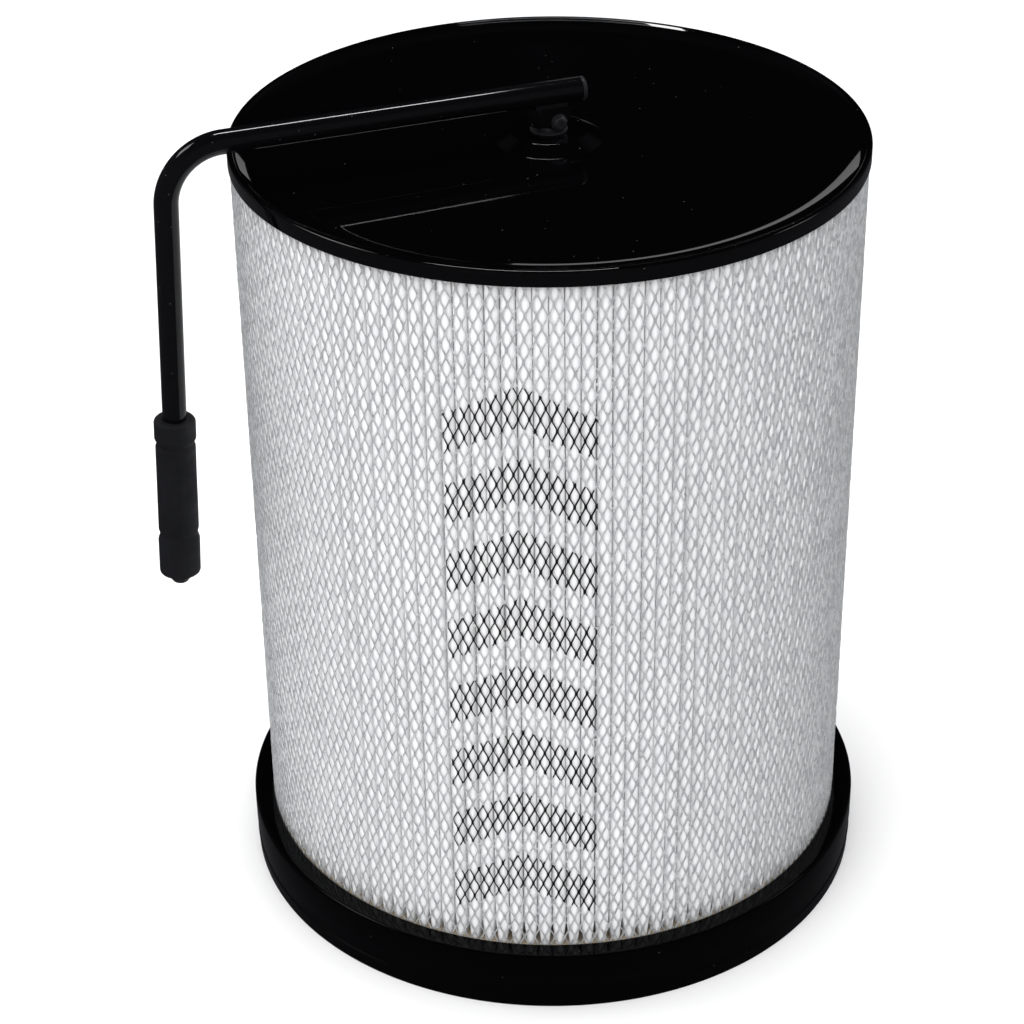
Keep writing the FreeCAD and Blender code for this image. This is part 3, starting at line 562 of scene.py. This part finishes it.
collar = addPiece("base_skirt", latheMesh("base_skirt", collarOutline(collarLook), collarLook["segments"],
                                          collarRipple), "canister", 50)
collar.data.materials.append(collarEnamel)
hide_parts("base_collar")
print("base collar made")

# Expanded metal screen: staggered diamonds with upright long ways, each strand tilted about the axis.

screenLook = {
    "columns": 190, "rows": 33, "bottom": 40.6, "top": 654.6, "radius": 249.45,
    "tilt": 0.42, "tiltSpread": 0.5, "thickness": 0.8, "bondTop": 1.5, "bondSide": 1.05, "bondHalf": 1.6,
    "panels": 4, "wobble": 0.14, "sway": 0.9, "smallSway": 0.6, "drift": 0.35, "bulge": 0.12, "limit": 249.98,
}


def screenSpots(look, columns, rows, dx, dy, lift):
    # Points on the screen; columns and rows count half cells, dx and dy are millimetres, lift is outwards.
    halfWidth = math.pi * look["radius"] / look["columns"]
    halfHeight = (look["top"] - look["bottom"]) / look["rows"] / 2
    angle = (columns * halfWidth + dx) / look["radius"]
    height = look["bottom"] + rows * halfHeight + dy
    sway = (look["sway"] * np.sin(height / 61 + 3 * np.sin(angle))
            + look["smallSway"] * np.sin(height / 23 + 7 * angle))
    angle = angle + sway / look["radius"]
    atEdge = (dy == 0) & ((rows == 0) | (rows == 2 * look["rows"]))
    height = height + np.where(atEdge, 0, look["drift"]) * np.sin(9 * angle + height / 90)
    radius = look["radius"] + lift + look["bulge"] * np.sin(5 * angle + height / 150)
    radius = np.minimum(radius, look["limit"])
    return np.stack([radius * np.cos(angle), radius * np.sin(angle), height], 1) * mm


def screenPanel(name, look, first, last, keep=None):
    # Cells from half column first up to last; keep(column, row) may leave some out.
    w = math.pi * look["radius"] / look["columns"]
    h = (look["top"] - look["bottom"]) / look["rows"] / 2
    topRow = 2 * look["rows"]
    rng = np.random.default_rng(first + 17)
    cells = [(c, r) for c in range(first, last) for r in range(topRow + 1)
             if (c + r) % 2 and (keep is None or keep(c, r))]
    spots, faces, numbers = [], [], {}

    def spot(key, column, row, dx=0.0, dy=0.0, lift=0.0):
        if key not in numbers:
            numbers[key] = len(spots)
            spots.append((column, row, dx, dy, lift))
        return numbers[key]

    a, b, c0 = w - look["bondSide"], look["bondHalf"], h - look["bondTop"]
    for column, row in cells:
        wobble = rng.uniform(-look["wobble"], look["wobble"], 3)
        lean = look["tilt"] * (1 + look["tiltSpread"] * rng.uniform(-1, 1))

        def corner(dc, dr):
            return spot(((column + dc) % (2 * look["columns"]), row + dr), column + dc, row + dr)

        def rim(tag, dx, dy, side):
            return spot((column, row, tag), column, row, dx + (wobble[0] if abs(side) else wobble[1]),
                        dy + wobble[2], side * lean)

        left, right = corner(-1, 0), corner(1, 0)
        lower, upper = row > 0, row < topRow
        if lower:
            bottom = corner(0, -1)
            p4, p5, p6 = rim(4, -a, -b, 1), rim(5, 0, -c0, 0), rim(6, a, -b, -1)
            faces += [(left, bottom, p5, p4), (bottom, right, p6, p5)]
        if upper:
            top = corner(0, 1)
            p7, p8, p9 = rim(7, a, b, -1), rim(8, 0, c0, 0), rim(9, -a, b, 1)
            faces += [(right, top, p8, p7), (top, left, p9, p8)]
        if lower and upper:
            faces += [(right, p7, p6), (left, p4, p9)]
        else:
            pl = spot((column, row, 0), column, row, -a, 0.0, lean)
            pr = spot((column, row, 1), column, row, a, 0.0, -lean)
            faces += [(left, p4, pl), (right, pr, p6)] if lower else [(left, pl, p9), (right, p7, pr)]
    table = np.array(spots, float)
    front = screenSpots(look, *table.T)
    back = screenSpots(look, table[:, 0], table[:, 1], table[:, 2], table[:, 3], table[:, 4] - look["thickness"])
    count = len(front)
    edges = {}
    for face in faces:
        for k in range(len(face)):
            edges[(face[k], face[(k + 1) % len(face)])] = True
    walls = [(j, i, i + count, j + count) for i, j in edges if (j, i) not in edges]
    behind = [tuple(i + count for i in reversed(face)) for face in faces]
    mesh = meshFrom(name, np.concatenate([front, back]), faces + behind + walls, tidy=False)
    panel = addPiece(name, mesh, "canister", 28)
    return panel


halfColumns = 2 * screenLook["columns"]
printMiddle = round((printed["centreAngle"] % 360) / 360 * halfColumns)
printHalf = printed["halfCells"]
rowStep = (screenLook["top"] - screenLook["bottom"]) / screenLook["rows"] / 2
printLow = round((printed["bottom"] - printed["margin"] - screenLook["bottom"]) / rowStep)
printHigh = round((printed["top"] + printed["margin"] - screenLook["bottom"]) / rowStep)


def isPrinted(column, row):
    return abs(column % halfColumns - printMiddle) <= printHalf and printLow <= row <= printHigh


for k in range(screenLook["panels"]):
    start = k * halfColumns // screenLook["panels"]
    end = (k + 1) * halfColumns // screenLook["panels"]
    panel = screenPanel(f"screen_panel_{k + 1}", screenLook, start, end, lambda c, r: not isPrinted(c, r))
    panel.data.materials.append(plainScreen)
printPanel = screenPanel("screen_printed_panel", screenLook, printMiddle - printHalf, printMiddle + printHalf + 1,
                         isPrinted)
printPanel.data.materials.append(inkedScreen)
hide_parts("outer_screen")

# Pleated media: round-nosed lobes of spun fabric. They pinch in at the foot, where they stand in the resin.

mediaLook = {
    "pleats": 132, "tipRadius": 5.4, "tipDepth": 3.2, "closing": 242.6, "gap": 0.12, "noseSteps": 8,
    "outer": 248.0, "inner": 200.4, "foldRadius": 0.9,
    "bottom": 41.0, "top": 650.9, "levels": 20, "fabric": 0.9,
    "footHeights": (41.0, 50.5, 54.0, 58.0, 63.0, 70.0), "footNarrow": 0.38, "footGap": 2.3,
    "lean": 0.0022, "sway": 0.0012, "drift": 0.0008, "noseSpread": 0.08, "noseWave": 0.05,
}


def pleatLine(look, middle, lean, squeeze, gap):
    # One pleat of the folded fabric, from valley to valley, as (radius, angle) pairs.
    half = math.pi / look["pleats"]
    nose = look["tipRadius"] * squeeze
    centre = look["outer"] - look["tipDepth"]
    line = [(look["inner"], middle - half)]
    root = look["inner"] + 2 * look["foldRadius"]
    line.append((root, middle - half + look["foldRadius"] / root))
    mid = look["closing"]
    line.append((mid, middle - half + gap / mid + lean * 0.4))
    for k in range(look["noseSteps"] + 1):
        turn = math.pi * k / look["noseSteps"]
        reach = centre + look["tipDepth"] * math.sin(turn)
        line.append((reach, middle + lean - nose * math.cos(turn) / look["outer"]))
    line.append((mid, middle + half - gap / mid + lean * 0.4))
    line.append((root, middle + half - look["foldRadius"] / root))
    return line


def mediaMesh(look):
    dice = random.Random(3)
    sway = [(dice.uniform(-1, 1), dice.uniform(0, 6.28), dice.uniform(-1, 1)) for _ in range(look["pleats"])]
    verts, faces = [], []
    foot = look["footHeights"]
    heights = list(foot) + [foot[-1] + (look["top"] - foot[-1]) * k / look["levels"]
                            for k in range(1, look["levels"] + 1)]
    for z in heights:
        share = (z - look["bottom"]) / (look["top"] - look["bottom"])
        pinch = min(1.0, max(0.0, (foot[-1] - z) / (foot[-1] - foot[1])))
        free = math.sin(math.pi * share)
        for k in range(look["pleats"]):
            a, phase, b = sway[k]
            waver = (look["lean"] * a + look["sway"] * math.sin(phase + 5 * share)
                     + look["drift"] * math.sin(k * 0.9 + 9 * share))
            lean = free * waver
            nose = 1 + look["noseSpread"] * b + look["noseWave"] * math.sin(phase + 11 * share)
            squeeze = nose * (1 - look["footNarrow"] * pinch)
            gap = look["gap"] + look["footGap"] * pinch
            for r, angle in pleatLine(look, 2 * math.pi * k / look["pleats"], lean, squeeze, gap):
                verts.append((r * mm * math.cos(angle), r * mm * math.sin(angle), z * mm))
    ringSize = len(verts) // len(heights)
    for level in range(len(heights) - 1):
        for k in range(ringSize):
            j = (k + 1) % ringSize
            low, high = level * ringSize, (level + 1) * ringSize
            faces.append((low + k, low + j, high + j, high + k))
    return meshFrom("pleated_fabric", verts, faces, tidy=False)


media = addPiece("pleated_fabric", mediaMesh(mediaLook), "canister", 60)
media.data.materials.append(spunFabric)
thicken = media.modifiers.new("fabric", "SOLIDIFY")
thicken.thickness = mediaLook["fabric"] * mm
thicken.offset = -1
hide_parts("pleated_media")

beadLook = {
    "heights": (148, 253, 358, 463, 568), "radius": 244.6, "bead": 1.0, "dip": 0.2, "steps": 6, "sides": 8,
    "wander": 1.6, "lumps": 0.5, "tall": 1.5, "limit": 248.5,
}


def beadRings(look):
    verts, faces = [], []
    count = mediaLook["pleats"] * look["steps"]
    for row, height in enumerate(look["heights"]):
        wander = smoothNoise(40 + row, 5, 1, 5)
        bumps = smoothNoise(60 + row, 8, 90, 260)
        base = len(verts)
        for s in range(count):
            angle = 2 * math.pi * s / count
            middle = look["radius"] + look["dip"] * math.cos(mediaLook["pleats"] * angle)
            z = height + look["wander"] * wander(angle) + look["lumps"] * bumps(angle + 1)
            thick = look["bead"] * (0.85 + 0.25 * bumps(angle))
            for k in range(look["sides"]):
                turn = 2 * math.pi * k / look["sides"]
                r = min(middle + thick * math.cos(turn), look["limit"])
                lift = z + thick * look["tall"] * math.sin(turn)
                verts.append((r * mm * math.cos(angle), r * mm * math.sin(angle), lift * mm))
        for s in range(count):
            t = (s + 1) % count
            for k in range(look["sides"]):
                j = (k + 1) % look["sides"]
                faces.append((base + s * look["sides"] + k, base + t * look["sides"] + k,
                              base + t * look["sides"] + j, base + s * look["sides"] + j))
    return meshFrom("spacer_beads_glue", verts, faces)


beads = addPiece("spacer_beads_glue", beadRings(beadLook), "canister", 0)
beads.data.materials.append(hotMelt)
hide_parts("spacer_beads")

pottingLook = {"outer": 248.5, "inner": 196.3, "floor": 39.6, "waveAbove": 46.0, "wave": 0.7, "sink": 0.3}
pottingSegments = 4 * mediaLook["pleats"]
pottingWave = smoothNoise(21, 9, 20, 140)


def pottingRipple(angle, r, z):
    if z > pottingLook["waveAbove"]:
        z += pottingLook["wave"] * pottingWave(angle, r) - pottingLook["sink"]
    return r, z


potting = addPiece("bottom_resin", latheMesh("bottom_resin", softened([
    (pottingLook["outer"], pottingLook["floor"]), (pottingLook["outer"], 51.2, 1.2), (240.0, 50.2, 3.0),
    (205.0, 50.2, 3.0), (pottingLook["inner"], 51.0, 1.2), (pottingLook["inner"], pottingLook["floor"]),
], steps=4), pottingSegments, pottingRipple), "canister", 0)
potting.data.materials.append(pottingResin)
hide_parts("bottom_potting")
topResin = addPiece("top_resin", latheMesh("top_resin", softened([
    (248.4, 651.4), (248.4, 656.2), (pottingLook["inner"], 656.2), (pottingLook["inner"], 648.6, 1.0),
    (244.5, 648.6, 2.0), (245.0, 651.4, 0.3),
], steps=4), pottingSegments), "canister", 0)
topResin.data.materials.append(pottingResin)
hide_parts("top_potting")
print("media, beads and potting made")

# Crank

crankLook = {
    "tube": 9.5, "axisHeight": 694.4, "stub": 26.0, "corner": 304.9, "bend": 46.5, "splay": 2.49,
    "gripBottom": 329.0, "straightSteps": 30, "bendSteps": 40, "flatten": 0.025, "wrinkle": 0.05, "endRound": 0.35,
}
splay = math.radians(crankLook["splay"])
turnAngle = math.pi / 2 - splay


def legPoint(height):
    drop = crankLook["axisHeight"] - height
    return (-crankLook["corner"] - drop * math.tan(splay), 0.0, height)


def crankPath(look):
    reach = look["bend"] * math.tan(turnAngle / 2)
    start = -look["corner"] + reach
    path = [(look["stub"], 0, look["axisHeight"]), (look["stub"] - 0.3, 0, look["axisHeight"])]
    steps = look["straightSteps"]
    path += [(look["stub"] + (start - look["stub"]) * k / steps, 0, look["axisHeight"]) for k in range(1, steps)]
    for k in range(look["bendSteps"] + 1):
        angle = turnAngle * k / look["bendSteps"]
        path.append((start - look["bend"] * math.sin(angle), 0,
                     look["axisHeight"] - look["bend"] * (1 - math.cos(angle))))
    end = path[-1][2]
    path += [legPoint(end + (look["gripBottom"] - end) * k / steps) for k in range(1, steps + 1)]
    return path


tubePath = crankPath(crankLook)


def tubeRadius(k, angle):
    # Bent tube goes slightly oval, and keeps a faint ripple inside the bend.
    if k == 0:
        return crankLook["tube"] - crankLook["endRound"]
    share = min(max((k - crankLook["straightSteps"] - 1) / crankLook["bendSteps"], 0), 1)
    bent = math.sin(math.pi * share)
    oval = crankLook["flatten"] * bent
    ripple = crankLook["wrinkle"] * bent * max(0.0, -math.cos(angle)) * math.sin(k * 1.7)
    return crankLook["tube"] * (1 - oval * abs(math.cos(angle)) ** 1.5) + ripple


tube = addPiece("crank_tube", sweepMesh("crank_tube", tubePath, tubeRadius), "crank", 40)
tube.data.materials.append(tubeEnamel)
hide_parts("crank_arm")


def placedLathe(name, outline, steps, place, ripple=None, sharpAngle=40):
    mesh = latheMesh(name, outline, steps, ripple)
    mesh.transform(place)
    return addPiece(name, mesh, "crank", sharpAngle)


legPlace = Matrix.Translation(Vector(legPoint(crankLook["gripBottom"])) * mm) @ Matrix.Rotation(splay, 4, "Y")

# Heights ending in Low are from the grip's foot, those ending in Top are down from its upper end.
gripLook = {
    "barrel": 16.25, "flare": 16.8, "groove": 14.75, "length": 140.13, "bore": 9.6, "segments": 128,
    "flareLow": 31.0, "grooveLow": 36.5, "barrelLow": 41.0, "barrelTop": 24.5, "grooveTop": 20.5, "flareTop": 17.0,
    "dent": 0.22, "dentFrom": 12.0, "dentFade": 3.0,
}


def gripOutline(look):
    r, f, g, length = look["barrel"], look["flare"], look["groove"], look["length"]
    outline = softened([
        (look["bore"], 0.0), (11.5, 0.0, 1.0), (f, 0.2, 6.0),
        (f, look["flareLow"], 5.0), (g + 0.3, look["grooveLow"], 3.0), (r, look["barrelLow"], 5.0),
        (r, length - look["barrelTop"], 4.0), (g, length - look["grooveTop"], 2.5),
        (f, length - look["flareTop"], 3.0),
        (f, length, 3.0), (look["bore"], length),
    ], steps=8)
    full = []
    for k, (r0, z0) in enumerate(outline):
        r1, z1 = outline[(k + 1) % len(outline)]
        pieces = max(1, int(math.hypot(r1 - r0, z1 - z0) / 3))
        full += [(r0 + (r1 - r0) * s / pieces, z0 + (z1 - z0) * s / pieces) for s in range(pieces)]
    return full


gripDent = smoothNoise(77, 7, 2, 6)


def gripRipple(angle, r, z):
    # Foam is never quite round.
    start = gripLook["dentFrom"]
    if r > start:
        fade = min(1.0, (r - start) / gripLook["dentFade"])
        r -= gripLook["dent"] * (1 + gripDent(angle, 40 * math.sin(z / 31))) * fade
    return r, z


grip = placedLathe("foam_grip", gripOutline(gripLook), gripLook["segments"], legPlace, gripRipple, 55)
grip.data.materials.append(gripFoam)
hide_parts("hand_grip")

capLook = {"drop": 9.0, "radius": 10.5, "tip": 6.0}
capOutline = softened([
    (0.0, -capLook["drop"], 0), (capLook["tip"], -capLook["drop"], 1.5), (9.0, -4.6, 4.0),
    (capLook["radius"], 0.3, 0.5), (9.4, 0.4), (0.0, 0.4, 0),
], steps=6)
cap = placedLathe("grip_end_cap", capOutline, 64, legPlace, None, 40)
cap.data.materials.append(mouldedPlastic)
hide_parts("grip_cap")

plugPlace = Matrix.Translation(Vector((crankLook["stub"], 0, crankLook["axisHeight"])) * mm) @ Matrix.Rotation(
    math.pi / 2, 4, "Y")
plugLook = {"shank": 7.9, "depth": 6.0, "head": 9.5, "crown": 3.6, "dish": 3.2}
plugOutline = softened([
    (0.0, -plugLook["depth"], 0), (plugLook["shank"], -plugLook["depth"]), (plugLook["shank"], 0.0, 0),
    (plugLook["head"], 0.0, 0.3), (plugLook["head"], plugLook["crown"], 1.6), (5.6, plugLook["crown"], 0.5),
    (5.0, plugLook["dish"], 0.5), (0.0, plugLook["dish"], 0),
], steps=6)
plug = placedLathe("tube_end_plug", plugOutline, 64, plugPlace, None, 40)
plug.data.materials.append(mouldedPlastic)
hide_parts("tube_plug")

weldLook = {
    "start": -13.0, "end": 13.0, "height": 686.0, "side": 5.6, "radius": 1.9,
    "pitch": 2.3, "swell": 0.16, "uneven": 0.1,
}


def weldBead(name, side):
    count = 90
    dice = random.Random(side + 9)
    wave = [dice.uniform(-0.3, 0.3) for _ in range(count + 1)]
    path, sizes = [], []
    for k in range(count + 1):
        share = k / count
        x = weldLook["start"] + (weldLook["end"] - weldLook["start"]) * share
        taper = min(1.0, 9 * share + 0.25, 9 * (1 - share) + 0.25)
        swell = 1 + weldLook["swell"] * math.sin(x * 2 * math.pi / weldLook["pitch"])
        sizes.append(weldLook["radius"] * taper * swell + weldLook["uneven"] * wave[k])
        path.append((x, side * (weldLook["side"] + 0.25 * wave[k]), weldLook["height"] + 0.2 * wave[k // 2]))
    mesh = sweepMesh(name, path, lambda k, angle: sizes[k], 20)
    bead = addPiece(name, mesh, "crank", 0)
    bead.data.materials.append(tubeEnamel)
    return bead


weldBead("weld_front", -1)
weldBead("weld_back", 1)
print("crank made")

# Nodes shown as the CAD has them, with softened edges.

nodeFinish = {
    "base_seal": (spongeSeal, 0.6),
    "crossbar": (zincSteel, 0.5), "crossbar_bolts": (zincSteel, 0.25), "crossbar_nuts": (zincSteel, 0.25),
    "lower_housing": (zincSteel, 0.6), "housing_bolts": (zincSteel, 0.25), "housing_nuts": (zincSteel, 0.25),
    "lower_bush": (bushBronze, 0.3), "hub_plate": (zincSteel, 0.3),
    "upper_bush": (mouldedPlastic, 0.3), "bush_washer": (zincSteel, 0.25), "bush_nut": (zincSteel, 0.4),
    "agitator_shaft": (shaftSteel, 0.3), "retaining_ring": (blackFastener, 0.2), "shaft_collar": (zincSteel, 0.5),
    "collar_screw": (blackFastener, 0.2), "lower_paddle_arm": (zincSteel, 0.4),
    "upper_paddle_arm": (zincSteel, 0.4), "hub_screws": (blackFastener, 0.2), "arm_bolts": (zincSteel, 0.25),
    "blade_screws": (zincSteel, 0.2), "paddle_bar_left": (zincSteel, 0.4), "paddle_bar_right": (zincSteel, 0.4),
    "wiper_blade_left": (wiperRubber, 0.4), "wiper_blade_right": (wiperRubber, 0.4),
    "clamp_strip_left": (zincSteel, 0.3), "clamp_strip_right": (zincSteel, 0.3),
    "crank_bracket": (tubeEnamel, 0.6), "pivot_bolt": (blackFastener, 0.25),
    "pivot_washers": (blackFastener, 0.2), "pivot_nut": (blackFastener, 0.3),
}
for nodeName, (finish, edge) in nodeFinish.items():
    node = nodes[nodeName]
    node.data.materials.clear()
    node.data.materials.append(finish)
    weld = node.modifiers.new("weld", "WELD")
    weld.merge_threshold = 1e-6
    bevel = node.modifiers.new("edges", "BEVEL")
    bevel.width = edge * mm
    bevel.segments = 3
    bevel.limit_method = "ANGLE"
    bevel.angle_limit = math.radians(40)
    bevel.harden_normals = True
print("CAD nodes finished")

# Studio: pale floor, soft light, long-lens camera.

cameraLook = {"place": (-672.6, -1828.2, 1490.0), "turn": 0.33549, "dip": 0.5425, "roll": -0.01473, "lens": 94.29}
sinTurn, cosTurn = math.sin(cameraLook["turn"]), math.cos(cameraLook["turn"])
forward = Vector((sinTurn * math.cos(cameraLook["dip"]), cosTurn * math.cos(cameraLook["dip"]),
                  -math.sin(cameraLook["dip"])))
right = forward.cross(Vector((0, 0, 1))).normalized()
up = right.cross(forward)
cosRoll, sinRoll = math.cos(cameraLook["roll"]), math.sin(cameraLook["roll"])
axisX = right * cosRoll + up * sinRoll
axisY = up * cosRoll - right * sinRoll
cameraData = bpy.data.cameras.new("studio_camera")
cameraData.lens = cameraLook["lens"]
cameraData.sensor_width = 36
cameraData.clip_end = 60
camera = bpy.data.objects.new("studio_camera", cameraData)
scene.collection.objects.link(camera)
place = Vector(cameraLook["place"]) * mm
camera.matrix_world = Matrix((
    (axisX.x, axisY.x, -forward.x, place.x), (axisX.y, axisY.y, -forward.y, place.y),
    (axisX.z, axisY.z, -forward.z, place.z), (0, 0, 0, 1)))
scene.camera = camera

half = 14  # metres from the middle of the floor to its edge
floorCorners = [(-half, -half, 0), (half, -half, 0), (half, half, 0), (-half, half, 0)]
floorMesh = meshFrom("floor", floorCorners, [(0, 1, 2, 3)])
floor = bpy.data.objects.new("floor", floorMesh)
scene.collection.objects.link(floor)
floor.visible_glossy = False
floorMaterial, floorTree, floorShader = newMaterial("paleFloor", Roughness=0.9, Specular_IOR_Level=0.1)
paleCloud = useGroup(floorTree, mottle, Scale=1.5)
link(floorTree, blendColours(floorTree, paleCloud.outputs["Value"], (0.90, 0.90, 0.90, 1), (0.93, 0.93, 0.93, 1)),
     floorShader, "Base Color")
floorMesh.materials.append(floorMaterial)

# Each light: degrees round from straight behind (plus is to the right), elevation, distance, width, height, watts.
lights = {
    "backStrip": (-14, 75, 1.35, 0.55, 0.10, 4, True),
    "rimRight": (3.3, 20, 3.0, 0.32, 0.26, 0.18, True),
    "sideRight": (75, 40, 3.2, 0.5, 0.8, 3, True),
    "keyLeft": (-80, 48, 3.2, 1.0, 1.0, 12, True),
    "frontLeft": (-150, 25, 3.6, 2.4, 2.4, 36, False),
    "frontRight": (150, 22, 3.6, 2.4, 2.4, 9, False),
    "topFill": (180, 80, 3.6, 3.0, 3.0, 30, False),
}
aim = Vector((0, 0, 0.45))
for label, (around, elevation, distance, width, height, watts, mirrored) in lights.items():
    bearing = cameraLook["turn"] + math.radians(around)
    rise = math.radians(elevation)
    offset = Vector((math.sin(bearing) * math.cos(rise), math.cos(bearing) * math.cos(rise), math.sin(rise)))
    lamp = bpy.data.lights.new(label, "AREA")
    lamp.shape = "RECTANGLE"
    lamp.size, lamp.size_y, lamp.energy = width, height, watts
    lampObject = bpy.data.objects.new(label, lamp)
    scene.collection.objects.link(lampObject)
    lampObject.location = aim + offset * distance
    lampObject.rotation_euler = (-offset).to_track_quat("-Z", "Y").to_euler()
    lampObject.visible_glossy = mirrored
    lampObject.visible_camera = False

world = bpy.data.worlds.new("studio")
scene.world = world
world.use_nodes = True
sky = world.node_tree
background = sky.nodes["Background"]
background.inputs["Strength"].default_value = 1.0
path = addNode(sky, "ShaderNodeLightPath")

# What shiny parts mirror: dark straight behind the object and overhead, a dim room elsewhere and below.
# Each pair is where the fade starts and ends, as a cosine or a height on the unit sphere.
roomLook = {
    "below": (-0.12, -0.3), "behind": (0.85, 0.5), "overhead": (0.8, 0.5),
    "dark": (0.0005, 0.0005, 0.0006, 1), "dim": (0.06, 0.06, 0.065, 1), "fill": (1.1, 1.1, 1.11, 1),
}
direction = addNode(sky, "ShaderNodeTexCoord").outputs["Generated"]
towards = addNode(sky, "ShaderNodeSeparateXYZ", {"Vector": direction})
ahead = addNode(sky, "ShaderNodeVectorMath", {0: direction, 1: (sinTurn, cosTurn, 0.0)}, operation="DOT_PRODUCT")


def fadeBetween(value, ends):
    return addNode(sky, "ShaderNodeMapRange", {"Value": value, "From Min": ends[0], "From Max": ends[1]}).outputs[0]


low = fadeBetween(towards.outputs["Z"], roomLook["below"])
away = fadeBetween(ahead.outputs["Value"], roomLook["behind"])
sides = maths(sky, "MULTIPLY", away, fadeBetween(towards.outputs["Z"], roomLook["overhead"]))
mirror = blendColours(sky, maths(sky, "MAXIMUM", low, sides), roomLook["dark"], roomLook["dim"])
shade = blendColours(sky, path.outputs["Is Glossy Ray"], roomLook["fill"], mirror)
sky.links.new(blendColours(sky, path.outputs["Is Camera Ray"], shade, (1, 1, 1, 1)), background.inputs["Color"])
scene.view_settings.view_transform = "Standard"
print("studio made")
